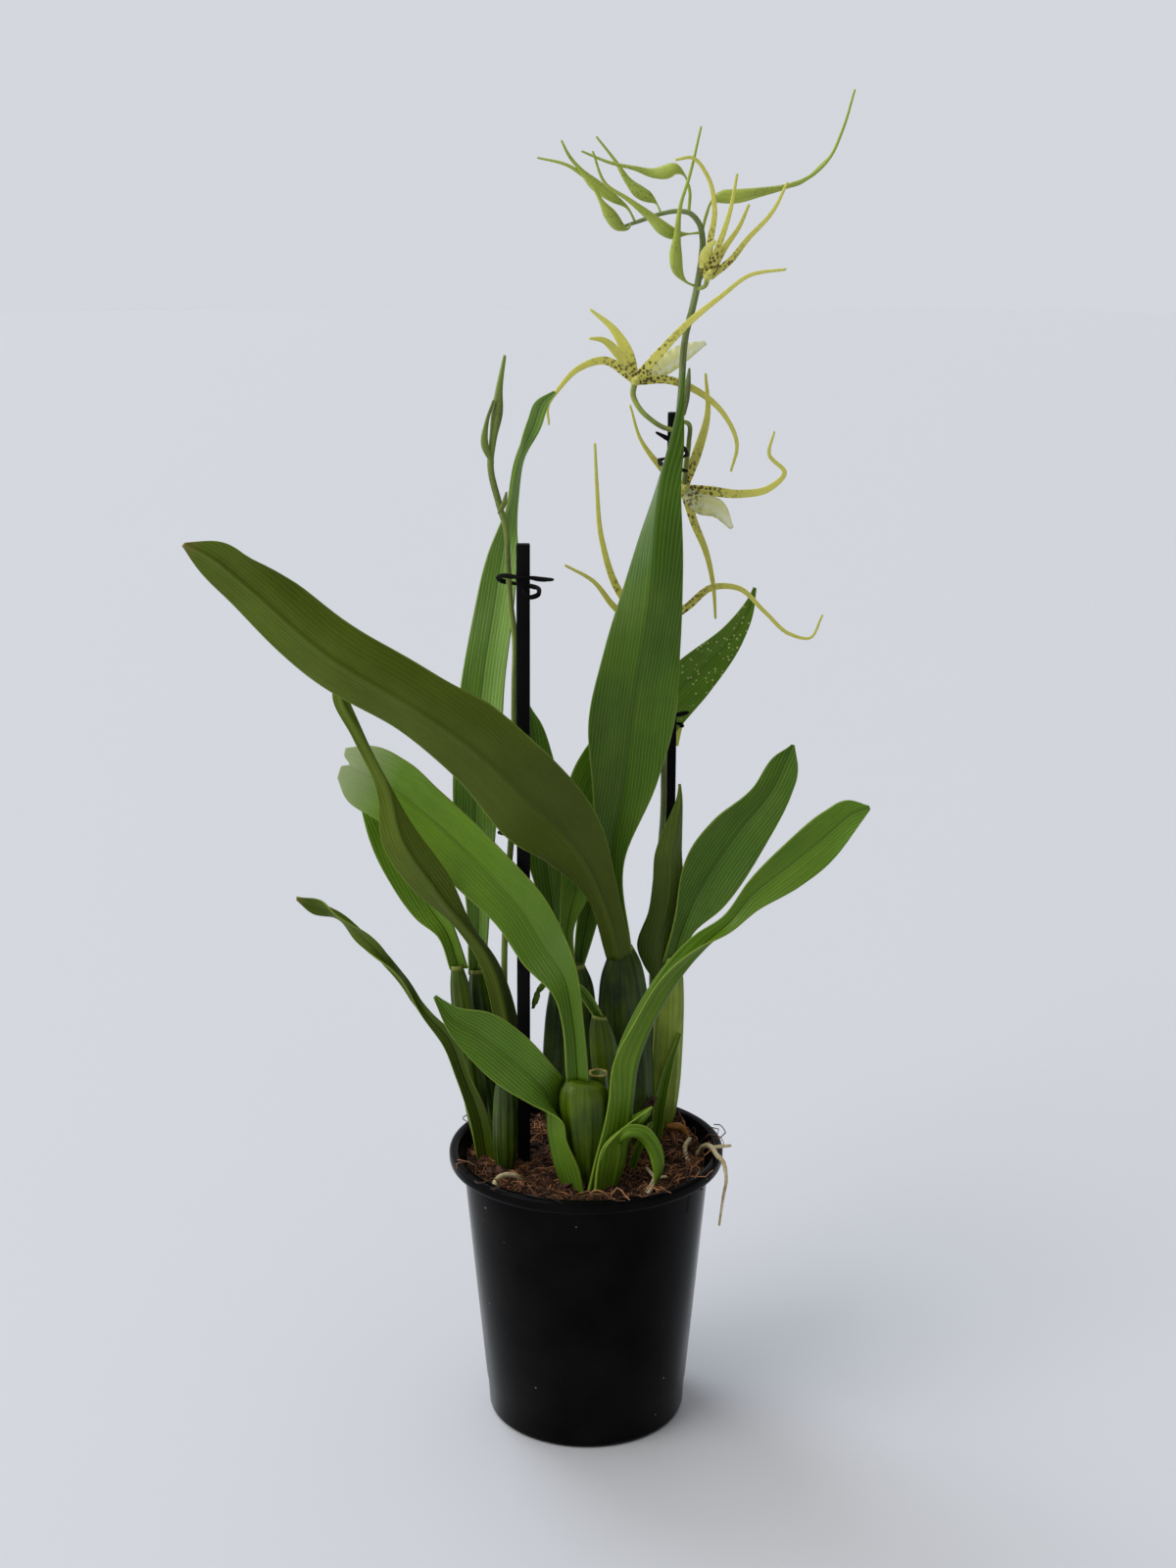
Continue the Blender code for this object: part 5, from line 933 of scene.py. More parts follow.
def build_pot(sizes, colours):
    """Spun wall with a rolled lip, a stepped foot and drain holes cut through the floor."""
    rim, height, base = sizes.pot_rim / MM, sizes.pot_height / MM, sizes.pot_base / MM
    wall, under = sizes.pot_wall / MM, sizes.pot_height / MM - LIP_HEIGHT
    slope = (BODY_TOP_RADIUS - base) / under
    outside = [(0, 0), (base - 2.5, 0), (base - 1.2, 0.3), (base - 0.4, 0.9), (base + 0.2, 2.5),
               (base + slope * FOOT_STEP - 0.5, FOOT_STEP - 0.6),
               (base + slope * FOOT_STEP, FOOT_STEP + 0.4), (BODY_TOP_RADIUS - 0.4, under - 4),
               (BODY_TOP_RADIUS, under - 0.4), (BODY_TOP_RADIUS + 0.6, under)]
    lip = [(rim - 1.2, under), (rim - 0.3, under + 0.4), (rim, under + 1.4), (rim, height - 1.8),
           (rim - 0.4, height - 0.6), (rim - 1.4, height), (rim - 3.2, height),
           (rim - 4.2, height - 0.5), (rim - 4.6, height - 1.6)]
    inside = [(BODY_TOP_RADIUS - wall + 1.0, under), (BODY_TOP_RADIUS - wall, under - 3),
              (base - wall + slope * 3, 3.0), (base - wall - 0.6, FLOOR), (0, FLOOR)]
    bm = bmesh.new()
    points = [bm.verts.new((r * MM, 0, z * MM)) for r, z in outside + lip + inside]
    edges = [bm.edges.new(pair) for pair in zip(points, points[1:])]
    bmesh.ops.spin(bm, geom=points + edges, axis=(0, 0, 1), cent=(0, 0, 0), angle=TWO_PI,
                   steps=POT_STEPS, use_merge=True)
    bmesh.ops.remove_doubles(bm, verts=bm.verts, dist=MERGE)
    bmesh.ops.recalc_face_normals(bm, faces=bm.faces)
    skin = finish("moulded_polypropylene", moulded_plastic, colours.pot, 0.10, 0.75, POT_GRAIN)
    pot = make_piece(bm, "nursery_pot", [skin], "pot_plastic", "pot")
    pot.data.set_sharp_from_angle(angle=radians(50))
    cut = bmesh.new()
    for k in range(DRAIN_COUNT):
        angle = TWO_PI * (k + 0.5) / DRAIN_COUNT
        spot = (DRAIN_RING * cos(angle) * MM, DRAIN_RING * sin(angle) * MM, FLOOR / 2 * MM)
        bmesh.ops.create_cone(cut, cap_ends=True, segments=24, radius1=DRAIN_RADIUS * MM,
                              radius2=DRAIN_RADIUS * MM, depth=3 * FLOOR * MM,
                              matrix=Matrix.Translation(spot))
    shape = bpy.data.meshes.new("drain_cutter")
    cut.to_mesh(shape)
    cut.free()
    cutter = bpy.data.objects.new("drain_cutter", shape)
    bpy.context.scene.collection.objects.link(cutter)
    drill = pot.modifiers.new("drain", "BOOLEAN")
    drill.object = cutter
    drill.operation = "DIFFERENCE"
    cut_mesh = bpy.data.meshes.new_from_object(
        pot.evaluated_get(bpy.context.evaluated_depsgraph_get()))
    pot.modifiers.clear()
    pot.data = cut_mesh
    bpy.data.objects.remove(cutter)


def rough_top(x, y, radius):
    """Mix surface with clods and hollows that fade out at the pot's wall."""
    spot = Vector((x, y, 0))
    size, rise = CLODS
    clods = rise * noise.fractal(spot / size, 0.9, 2.1, 4)
    size, depth, start = HOLLOWS
    hollows = -depth * max(0.0, noise.noise(spot / size + Vector((7, 3, 1))) - start)
    distance, least = WALL_FADE
    fade = min(1.0, (MIX_EDGE - radius) / distance)
    return mix_height(x, y) + (clods + hollows) * max(fade, least)


def build_mix(colours):
    """One closed bed from the pot's floor up to the uneven top."""
    turns = [(cos(TWO_PI * k / MIX_STEPS), sin(TWO_PI * k / MIX_STEPS)) for k in range(MIX_STEPS)]
    rings = []
    for k in range(MIX_RINGS + 1):
        radius = MIX_EDGE * k / MIX_RINGS
        rings.append([(radius * c, radius * s, rough_top(radius * c, radius * s, radius))
                      for c, s in turns])
    for radius, height in MIX_UNDER:
        rings.append([(radius * c, radius * s, height) for c, s in turns])
    rings = np.array(rings)
    rings[0] = rings[0].mean(axis=0)
    bm = bmesh.new()
    lay_tube(bm, rings, np.zeros_like(rings))
    # The near-black blotches are the mix's own dark tone and also painted shade in the gaps between
    # the fibres
    skin = finish("coir_and_bark_bed", dry_tissue, colours.coir, srgb("#170D08"), 0.92,
                  grain=BED_GRAIN, depth=0.0012)
    make_piece(bm, "mix_bed", [skin], "potting_mix", "potting_mix")


def build_chips(sizes, colours):
    """Angular flakes of pine bark, each one a cube cut across and knocked out of square."""
    rng = random.Random(SEED)
    bm = bmesh.new()
    usual, breadth, thickness = CHIP_SHARES
    for _ in range(sizes.chip_count):
        radius, angle = CHIP_REACH * rng.random() ** 0.5, rng.uniform(0, TWO_PI)
        x, y = radius * cos(angle), radius * sin(angle)
        size = sizes.chip_length / MM * rng.uniform(*usual)
        form = Vector((size, size * rng.uniform(*breadth), size * rng.uniform(*thickness)))
        first = len(bm.verts)
        corners = bmesh.ops.create_cube(bm, size=1.0)["verts"]
        edges = list(dict.fromkeys(edge for vert in corners for edge in vert.link_edges))
        bmesh.ops.subdivide_edges(bm, edges=edges, cuts=1, use_grid_fill=True)
        bm.verts.ensure_lookup_table()
        turn = Euler((rng.uniform(-CHIP_TILT, CHIP_TILT), rng.uniform(-CHIP_TILT, CHIP_TILT),
                      rng.uniform(0, TWO_PI)))
        centre = Vector((x, y, rough_top(x, y, radius) + rng.uniform(*CHIP_REST)))
        for vert in bm.verts[first:]:
            knock = Vector([rng.uniform(-CHIP_KNOCK, CHIP_KNOCK) for _ in range(3)])
            point = (vert.co * (CHIP_CORNER if vert.co.length > 0.8 else 1.0) + knock) * form
            point.rotate(turn)
            vert.co = (point + centre) * MM
    bmesh.ops.recalc_face_normals(bm, faces=bm.faces)
    skin = finish("pine_bark", dry_tissue, colours.bark, srgb("#1A0E09"), 0.85, grain=BARK_GRAIN,
                  depth=0.0008, stretch=(1.0, 0.3, 1.0))
    chips = make_piece(bm, "bark_chips", [skin], "potting_mix")
    chips.data.shade_flat()


def fibre_height(x, y, climbs):
    """Where a fibre lies: on the mix, or rising over the pot's rim for one that climbs."""
    share = min(1.0, max(0.0, (hypot(x, y) - CLIMB_START) / (CLIMB_END - CLIMB_START)))
    rise = climbs * share * share * (3 - 2 * share)
    return rough_top(x, y, hypot(x, y)) * (1 - rise) + CLIMB_TOP * rise


def build_fibres(sizes):
    """Loose curled coir fibres; a few climb over the rim as on the real pot."""
    rng = random.Random(SEED + 1)
    every_ring, every_place = [], []
    for _ in range(sizes.fibre_count):
        radius, angle = MIX_EDGE * rng.random() ** 0.5, rng.uniform(0, TWO_PI)
        x, y, way = radius * cos(angle), radius * sin(angle), rng.uniform(0, TWO_PI)
        climbs = radius > CLIMB_NEAR and rng.random() < CLIMBERS
        reach = CLIMB_REACH if climbs else MIX_EDGE
        if climbs:
            way = angle + rng.uniform(-CLIMB_STRAY, CLIMB_STRAY)
        step = sizes.fibre_length / MM * rng.uniform(*FIBRE_SHARES) / FIBRE_POINTS
        curl, lift = rng.uniform(-FIBRE_CURL, FIBRE_CURL), rng.uniform(0.0, FIBRE_LIFT)
        thick, tone = rng.uniform(*FIBRE_RADII), rng.random()
        rows = []
        for k in range(FIBRE_POINTS):
            share = k / (FIBRE_POINTS - 1)
            x += step * cos(way + curl * share)
            y += step * sin(way + curl * share)
            far = max(1.0, hypot(x, y) / reach)
            x, y = x / far, y / far
            rows.append((x, y, fibre_height(x, y, climbs) + FIBRE_REST + lift * sin(pi * share)
                         + rng.uniform(*FIBRE_KINK), thick))
        rings, places = rod_rings(rows, count=FIBRE_POINTS, sides=3, ends=1, least=0.1)
        places[:, :, 1] = tone
        every_ring.append(rings)
        every_place.append(places)
    # One tube is laid through all of them, and the threads left between their ends come out
    bm = bmesh.new()
    lay_tube(bm, np.concatenate(every_ring), np.concatenate(every_place))
    threads = [edge for edge in bm.edges if edge.is_wire]
    bmesh.ops.delete(bm, geom=threads, context="EDGES")
    skin = finish("coir_fibre", dry_tissue, srgb("#C98A58"), srgb("#1C0D07"), 0.75, grain=COIR_GRAIN,
                  depth=0.0003, toned=True)
    make_piece(bm, "coir_fibres", [skin], "potting_mix")


def build_stakes(sizes, colours):
    """Square bars with softly rounded long edges."""
    skin = finish("extruded_stake_plastic", moulded_plastic, colours.stake, 0.42, 0.3, STAKE_GRAIN)
    for name, (foot, top) in STAKES.items():
        bm = bmesh.new()
        bmesh.ops.create_cube(bm, size=1.0)
        for vert in bm.verts:
            end = Vector(top if vert.co.z > 0 else foot)
            vert.co = (end + Vector((vert.co.x * STAKE_SIDE, vert.co.y * STAKE_SIDE, 0))) * MM
        bmesh.ops.bevel(bm, geom=bm.edges[:], offset=sizes.stake_edge, offset_type="OFFSET",
                        affect="EDGES", segments=3, profile=0.5, material=-1)
        bmesh.ops.recalc_face_normals(bm, faces=bm.faces)
        make_piece(bm, name + "_bar", [skin], "stake_plastic", name)


def build_ties(colours):
    """Flat plastic tape with a wire core, twisted a few turns where it closes on itself."""
    skin = finish("twist_tie_plastic", moulded_plastic, colours.stake, 0.45, 0.2, STAKE_GRAIN)
    for name, route in TIES.items():
        bm = bmesh.new()
        rows = [(*point, TIE_HALF_WIDTH) for point in route]
        lay_tube(bm, *rod_rings(rows, count=90, sides=12, flat=TIE_THICKNESS, face=(0, 0, 1),
                                twist=TIE_TWIST))
        make_piece(bm, name + "_wire", [skin], "tie_wire", name)


def bulb_rings(outline, foot, top, half_width, half_depth, ring_slope):
    """Rings of a flattened ridged egg that narrows to its foot and to its leaf ring."""
    foot, top = np.array(foot, float), np.array(top, float)
    tall = np.linalg.norm(top - foot)
    rows = smooth([(share * tall, 0, 0, width) for share, width in outline], BULB_ROWS)
    levels = [(share / tall, width) for share, _, _, width in rows]
    levels = [(0.0, 1e-4)] + levels + [(1.0, levels[-1][1] * BULB_CAP), (1.0, 1e-4)]
    rings, places = [], []
    for number, (share, width) in enumerate(levels):
        centre = foot + (top - foot) * share
        mark = share if number < len(levels) - 2 else CAP_MARK
        fade = sin(pi * min(1.0, max(0.0, share))) ** 0.5
        ring, place = [], []
        for k in range(BULB_STEPS):
            a = TWO_PI * k / BULB_STEPS
            groove = sum(deep * (1 - cos(count * a + start)) * fade
                         for count, start, deep in BULB_RIDGES)
            swell = width - groove if width > 1e-3 else width
            dx = half_width * swell * cos(a)
            ring.append(centre + (dx, half_depth * swell * sin(a), dx * ring_slope * share ** 4))
            place.append((share * tall, cos(a), mark))
        rings.append(ring)
        places.append(place)
    return np.array(rings), np.array(places)


def lay_stub(bm):
    """Stub of a cut leaf, hollowed a little at its cut end."""
    rows = smooth([(*place, radius * STUB_SWELL) for *place, radius in LEAF_STUB], 24)
    end, width = rows[-1, :3], rows[-1, 3]
    levels = [(rows[0, :3], 0.0)] + [(row[:3], row[3]) for row in rows]
    levels += [(end + (0, 0, rise), width * share) for rise, share in STUB_CUT]
    turns = [TWO_PI * k / STUB_STEPS for k in range(STUB_STEPS)]
    count, high = STUB_RIPPLE
    rings, places = [], []
    for number, (centre, radius) in enumerate(levels):
        rings.append([centre + (radius * (1 + high * sin(count * a)) * cos(a),
                                radius * (1 + high * sin(count * a)) * sin(a), 0) for a in turns])
        places.append([(number, cos(a), number / len(levels)) for a in turns])
    lay_tube(bm, np.array(rings), np.array(places))


def build_bulbs(colours):
    """Flattened ridged pseudobulbs with the pale ring that their leaves stand on."""
    skins = {}
    for name, face, shade, ring in (
            ("mature_pseudobulb_skin", colours.bulb_old, "#1E2E08", colours.scar),
            ("fresh_pseudobulb_skin", colours.bulb_new, "#33480A", colours.scar),
            ("young_growth_skin", colours.bulb_new, "#33480A", colours.bulb_new),
            ("sheathed_pseudobulb_skin", colours.sheath, "#74862A", colours.scar)):
        skins[name] = finish(name, stem_skin, face, srgb(shade), 0.36, blend=0.6, strands=7.0,
                             ring=ring)
    for node, shape in BULBS.items():
        age, slot = ("fresh", "bulb_fresh") if node in FRESH_BULBS else ("mature", "bulb_green")
        bm = bmesh.new()
        outline = FRONT_OUTLINE if node == "bulb_front" else BULB_OUTLINE
        lay_tube(bm, *bulb_rings(outline, *shape))
        skin = skins[BULB_SKINS.get(node, age + "_pseudobulb_skin")]
        make_piece(bm, node + "_skin", [skin], slot, node)
    bm = bmesh.new()
    lay_stub(bm)
    dry = finish("dried_leaf_scar", dry_tissue, srgb("#C4BC62"), srgb("#7C6230"), 0.8)
    stub = make_piece(bm, "leaf_stub_cut", [skins["fresh_pseudobulb_skin"], dry], "bulb_fresh",
                      "leaf_stub")
    for face in stub.data.polygons:
        face.material_index = 1 if face.center.z > (LEAF_STUB[-1][2] + 0.2) * MM else 0


def leaf_sheet(name, stations, sizes, finishes, slot, node):
    """A leaf blade with a creased midrib, pleated veins and slow waves along its margins."""
    rows = np.array([(*middle, *step, sink) for middle, step, sink in stations], float)
    if node not in FREE_FEET:
        rows[0, :3] -= unit(rows[1, :3] - rows[0, :3]) * LEAF_ROOT
    rows = smooth(rows, ROWS_PER_STATION * len(rows))
    middle, step, sink = rows[:, :3], rows[:, 3:6], rows[:, 6]
    heading = unit(np.gradient(middle, axis=0))
    under = unit(np.cross(heading, step))
    half = np.linalg.norm(step, axis=1)
    along = run_length(middle)
    share = along / along[-1]
    phase = 0.7 * len(name)
    side, bend, start, end = LEAF_CURLS.get(node, (0, 0.0, 0.0, 1.0))
    lean = np.clip((share - start) / CURL_ENDS, 0, 1) * np.clip((end - share) / CURL_ENDS, 0, 1)
    spot, breadth, depth = LEAF_NOTCHES.get(node, (0.0, 1.0, 0.0))
    start, run = NOTCH_ENDS
    deepens = np.clip((share - start) / run, 0, 1)
    thin = sizes.leaf_blade / sizes.leaf_midrib
    petiole = np.exp(-(along / PETIOLE_LENGTH) ** 2) * PETIOLE_SWELL
    sheet, places, edges, weights = [], [], [], []
    for t in np.linspace(-1, 1, BLADE_COLUMNS):
        across = t * half
        crease = CREASE_DEPTH * np.exp(-(across / CREASE_WIDTH) ** 2)
        pleat = sizes.vein_pleat / MM * np.cos(TWO_PI * PLEATS * t) * (1 - abs(t) ** 4)
        wave = (sizes.margin_wave / MM * abs(t) ** 3 * np.clip(half / WAVE_FROM, 0, 1)
                * np.clip(share * WAVE_START, 0, 1)
                * np.sin(along / WAVE_STRETCH + phase + (WAVE_SHIFT if t > 0 else 0.0)))
        drop = (sink * (1 - abs(t) ** FOLD_POWER) + crease
                + pleat * np.clip(half / PLEAT_FROM, 0, 1) + wave)
        curl = (max(0.0, side * t - CURL_FROM) / (1 - CURL_FROM)) ** CURL_POWER
        drop = drop + bend * lean * curl
        notch = depth * exp(-((t - spot) / breadth) ** 2) * deepens
        sheet.append(middle + t * step + under * drop[:, None] - heading * notch[:, None])
        places.append(np.stack([along, across, share], axis=1))
        edges.append(np.full(len(along), abs(t)))
        weights.append(
            np.clip(thin + (1 - thin) * np.exp(-(across / MIDRIB_WIDTH) ** 2) + petiole, 0, 1)
            * np.clip((1 - share) / TIP_LENGTH, TIP_LEFT, 1))
    sheet, places = np.stack(sheet, axis=1), np.stack(places, axis=1)
    edges, weights = np.stack(edges, axis=1), np.stack(weights, axis=1)
    bm = bmesh.new()
    deform = bm.verts.layers.deform.verify()
    edge = bm.verts.layers.float.new("edge")
    verts, _ = lay_grid(bm, sheet, places)
    for number, vert in enumerate(verts):
        row, column = divmod(number, BLADE_COLUMNS)
        vert[deform][0] = weights[row, column]
        vert[edge] = edges[row, column]
    piece = make_piece(bm, name, finishes, slot, node)
    piece.vertex_groups.new(name="thick")
    wall = piece.modifiers.new("wall", "SOLIDIFY")
    wall.thickness = sizes.leaf_midrib
    wall.offset = WALL_OFFSET
    wall.vertex_group = "thick"
    wall.material_offset = 1
    wall.material_offset_rim = 1


def leaf_finishes(colours):
    """Skins of the plant's leaves, by name."""
    glow, vein_and_sheen_green = colours.vein, srgb("#A6C07A")
    # An old leaf's brown tip is dry tissue, and its darker foot is painted shade
    old = {"tip": "#7C6E34", "midrib": 0.45, "foot": OLD_FOOT_SHADE}
    # A young leaf's pale grey green tip is painted sheen, and its darker foot is painted shade
    young = {"tip": "#A6B084", "foot": YOUNG_FOOT_SHADE}
    skins = {}
    for name, face, through, roughness, more in (
            ("mature_leaf_cuticle", colours.mature_face, glow, 0.36, {"sheen": 0.06}),
            ("mature_leaf_underside", colours.mature_back, glow, 0.48, {"mottle": 0.25}),
            ("old_leaf_cuticle", colours.old_face, glow, 0.36,
             {"mottle": 0.45, "veins": 0.18, "sheen": 0.04, **old}),
            ("old_leaf_underside", colours.old_back, glow, 0.46,
             {"mottle": 0.4, "veins": 0.22, **old}),
            ("speckled_leaf_cuticle", srgb("#5A8216"), glow, 0.38, {"specks": 0.9, "sheen": 0.03}),
            ("fresh_leaf_cuticle", colours.fresh_face, glow, 0.34, {"mottle": 0.4, "sheen": 0.03}),
            ("fresh_leaf_underside", colours.fresh_back, glow, 0.44, {"mottle": 0.3}),
            ("young_leaf_cuticle", srgb("#648C18"), glow, 0.34,
             {"mottle": 0.5, "sheen": 0.14, "tip_from": 0.86, **young}),
            ("young_leaf_underside", colours.fresh_back, glow, 0.44,
             {"mottle": 0.3, "tip_from": 0.9, **young}),
            # The waxy leaf's veins, patches, midrib and margin take a pale whitish green: partly
            # their own colour, partly painted sheen
            ("waxy_leaf_cuticle", srgb("#6C961E"), vein_and_sheen_green, 0.32,
             {"mottle": 0.3, "veins": 0.6, "sheen": 0.40})):
        skins[name] = finish(name, leaf_cuticle, face, through, roughness, **more)
    for name, roughness in (("brown_husk_face", 0.8), ("brown_husk_back", 0.85)):
        skins[name] = finish(name, dry_tissue, colours.husk, srgb("#33241A"), roughness)
    return skins


def build_leaves(sizes, colours):
    """Every leaf, sheath leaf and husk from its stations."""
    skins = leaf_finishes(colours)
    sheets = [(node + "_blade", stations, node, *LEAF_AGES.get(node, ("mature", "leaf_green")))
              for node, stations in LEAVES.items()]
    sheets.append(("front_sheath_tip", FRONT_SHEATH, "bract_curled", "fresh", "leaf_fresh"))
    for name, stations, node, age, slot in sheets:
        sides = [skins[side] for side in LEAF_SIDES[age]]
        leaf_sheet(name, stations, sizes, sides, slot, node)


def build_spikes(colours):
    """Both flower spikes with the small bracts at their nodes."""
    for node, stem, extras, name, face, blend, slot in (
            ("spike_tall", SPIKE_TALL, SPIKE_TALL_BRACTS, "flower_spike_skin", colours.spike,
             0.45, "spike_green"),
            ("spike_young", SPIKE_YOUNG, SPIKE_YOUNG_BUDS, "young_spike_skin", srgb("#7F9340"),
             0.35, "bud_green")):
        skin = finish(name, stem_skin, face, colours.spike_flush, 0.42, spot=srgb("#3A281E"),
                      blend=blend)
        bm = bmesh.new()
        lay_tube(bm, *rod_rings(stem, count=14 * len(stem), sides=18, ribs=(6, 0.06)))
        for rows in extras:
            lay_tube(bm, *rod_rings(rows, count=24, sides=16, ribs=(3, 0.12)))
        make_piece(bm, node + "_stem", [skin], slot, node)


def build_buds(colours):
    """Closed buds with three long seams and drawn-out tips, each on its stalk."""
    skin = finish("bud_skin", stem_skin, colours.bud, srgb("#8A9A42"), 0.42,
                  spot=srgb("#5E3B22"), blend=0.4)
    for node, rows in BUDS.items():
        bm = bmesh.new()
        rows = [(*place, radius * (BUD_SWELL if radius > BUD_HEAD else BUD_SLIM))
                for *place, radius in rows]
        lay_tube(bm, *rod_rings(rooted(rows, SPIKE_TALL), count=60, sides=18, ribs=(3, 0.10)))
        if node in BUD_SECOND_TAILS:
            lay_tube(bm, *rod_rings(BUD_SECOND_TAILS[node], count=24, sides=12, ribs=(3, 0.1)))
        make_piece(bm, node + "_closed", [skin], "bud_green", node)


def lay_lip(bm, rows, thickness, skin):
    """Broad pointed lip with a frilled edge and two low keels, given its thickness in place."""
    rows = smooth(rows, LIP_ROWS)
    middle, half = rows[:, :3], np.maximum(rows[:, 3], LIP_LEAST) * LIP_BREADTH
    heading = unit(np.gradient(middle, axis=0))
    facing = np.broadcast_to(np.array(FACING, float), middle.shape)
    front = unit(facing - heading * np.sum(facing * heading, axis=1, keepdims=True))
    side = np.cross(heading, front)
    along = run_length(middle)
    share = along / along[-1]
    spot, breadth, high = LIP_KEEL
    sheet, places = [], []
    for t in np.linspace(-1, 1, LIP_COLUMNS):
        frill = (LIP_FRILL * abs(t) ** 3 * np.sin(along * LIP_RIPPLE + LIP_LAG * t)
                 * np.clip(half / LIP_FROM, 0, 1))
        keel = high * np.exp(-((abs(t) - spot) / breadth) ** 2) * np.exp(-share * LIP_KEEL_FADE)
        out = keel + frill - LIP_BOW * half * t * t
        sheet.append(middle + side * (half * t)[:, None] + front * out[:, None])
        places.append(np.stack([along, half * t, share], axis=1))
    _, faces = lay_grid(bm, np.stack(sheet, axis=1), np.stack(places, axis=1))
    made = bmesh.ops.solidify(bm, geom=faces, thickness=thickness)["geom"]
    walls = [item for item in made if isinstance(item, bmesh.types.BMFace)]
    shell = list(dict.fromkeys(faces + walls))
    bmesh.ops.recalc_face_normals(bm, faces=shell)
    for face in shell:
        face.material_index = skin


def build_blooms(sizes, colours):
    """Open flowers: stalk, short column, five long tapering tepals and the frilled lip."""
    skins = [finish("tepal_tissue", tepal_skin, colours.tepal, colours.spot, srgb("#C4C464")),
             finish("lip_tissue", tepal_skin, colours.lip, colours.spot, srgb("#EFEED2")),
             finish("flower_stalk_skin", stem_skin, srgb("#A8B556"), colours.spike_flush, 0.45)]
    tepal, lip, stalk = range(3)
    body = BLOOM_BODY
    for node, shape in BLOOMS.items():
        bm = bmesh.new()
        x, y, z = shape["centre"]
        ball = [(x, y, z + body * cos(pi * k / 8), max(0.3, body * 0.8 * sin(pi * k / 8)))
                for k in range(1, 8)]
        lay_tube(bm, *rod_rings(ball, count=16, sides=20), tepal)
        lay_tube(bm, *rod_rings(rooted(shape["pedicel"], SPIKE_TALL), count=40, sides=14,
                                ribs=(6, 0.08)), stalk)
        # The column leans out of the middle, toward the viewer
        column = [(x, y - body * 0.4, z, 1.1), (x + 0.6, y - body * 0.9, z + 0.8, 1.2),
                  (x + 1.0, y - body * 1.3, z + 1.2, 1.1)]
        lay_tube(bm, *rod_rings(column, count=12, sides=16, face=(0, 0, 1)), tepal)
        for rows in shape["tepals"]:
            lay_tube(bm, *rod_rings(rows, count=16 * len(rows), sides=16, flat=TEPAL_THICKNESS,
                                    channel=TEPAL_CHANNEL), tepal)
        lay_lip(bm, shape["lip"], sizes.lip_sheet, tepal if node == "bloom_top" else lip)
        make_piece(bm, node + "_flower", skins, "bloom_yellow", node)


def build_roots(colours):
    """Corky aerial roots on the mix and over the rim."""
    pale = finish("dry_root_velamen", dry_tissue, colours.root, srgb("#A8905C"), 0.85,
                  grain=VELAMEN_GRAIN)
    old = finish("stained_root_velamen", dry_tissue, colours.root_old, srgb("#6E4A22"), 0.8,
                 grain=STAINED_GRAIN)
    for node, branches in ROOTS.items():
        skin, slot = (old, "root_orange") if node == "root_orange" else (pale, "root_white")
        bm = bmesh.new()
        for rows in branches:
            lay_tube(bm, *rod_rings(rows, count=14 * len(rows), sides=14, ribs=(5, 0.12),
                                    rough=0.16))
        make_piece(bm, node + "_skin", [skin], slot, node)


def build_stage(colours):
    """Pale floor, soft lights, a pale surround and the camera."""
    bm = bmesh.new()
    bmesh.ops.create_circle(bm, cap_ends=True, segments=96, radius=FLOOR_RADIUS)
    mesh = bpy.data.meshes.new("studio_floor")
    bm.to_mesh(mesh)
    bm.free()
    floor = bpy.data.objects.new("studio_floor", mesh)
    bpy.context.scene.collection.objects.link(floor)
    made, tree, shader = new_finish("matt_studio_board", {"Roughness": 0.6})
    local = add(tree, "TexCoord").outputs["Object"]
    cloud = add(tree, "TexNoise", {"Vector": local, "Scale": BOARD_CLOUDS, "Detail": 3.0}).outputs[0]
    base = wash(tree, colours.floor, srgb("#C9C4BC"), cloud, 0.0, 1.0, 0.0, 0.06)
    tree.links.new(base, shader.inputs["Base Color"])
    mesh.materials.append(made)
    world = bpy.data.worlds.new("studio_surround")
    world.use_nodes = True
    tree = world.node_tree
    sky = tree.nodes["Background"]
    sky.inputs["Color"].default_value = srgb("#F5F8FF")
    way = add(tree, "SeparateXYZ", {0: add(tree, "TexCoord").outputs["Generated"]}).outputs
    total = SURROUND_STRENGTH
    for axis, start, end, gain in SURROUND_SIDES:
        side = add(tree, "MapRange", {0: way[axis], 1: start, 2: end, 3: 0.0, 4: gain})
        total = add(tree, "Math", {0: side.outputs[0], 1: total}, operation="ADD").outputs[0]
    seen = add(tree, "LightPath").outputs["Is Camera Ray"]
    shown = add(tree, "Mix", {0: seen, 2: total, 3: BACKDROP_STRENGTH})
    tree.links.new(shown.outputs[0], sky.inputs["Strength"])
    bpy.context.scene.world = world
    for name, place, aim, spread, power, tint in LIGHTS:
        lamp = bpy.data.lights.new(name, "SUN")
        lamp.angle = radians(spread)
        lamp.energy = power
        lamp.color = srgb(tint)[:3]
        holder = bpy.data.objects.new(name, lamp)
        holder.location = place
        holder.rotation_euler = (Vector(aim) - Vector(place)).to_track_quat("-Z", "Y").to_euler()
        bpy.context.scene.collection.objects.link(holder)
    lens = bpy.data.cameras.new("studio_camera")
    lens.lens = CAMERA_LENS
    lens.sensor_fit = "VERTICAL"
    lens.sensor_height = CAMERA_SENSOR
    camera = bpy.data.objects.new("studio_camera", lens)
    camera.location = CAMERA_PLACE
    camera.rotation_euler = (radians(CAMERA_TILT), 0, 0)
    bpy.context.scene.collection.objects.link(camera)
    bpy.context.scene.camera = camera
    bpy.context.scene.view_settings.view_transform = "Standard"


class ORCHID_OT_pot(Operator):
    """Spin the black nursery pot and drill its drain holes"""
    bl_idname = "orchid.pot"
    bl_label = "Nursery Pot"

    def execute(self, context):
        build_pot(context.scene.orchid_sizes, context.scene.orchid_colours)
        return {"FINISHED"}


class ORCHID_OT_mix(Operator):
    """Fill the pot with an uneven bed of coir and bark"""
    bl_idname = "orchid.mix"
    bl_label = "Potting Mix"

    def execute(self, context):
        build_mix(context.scene.orchid_colours)
        return {"FINISHED"}


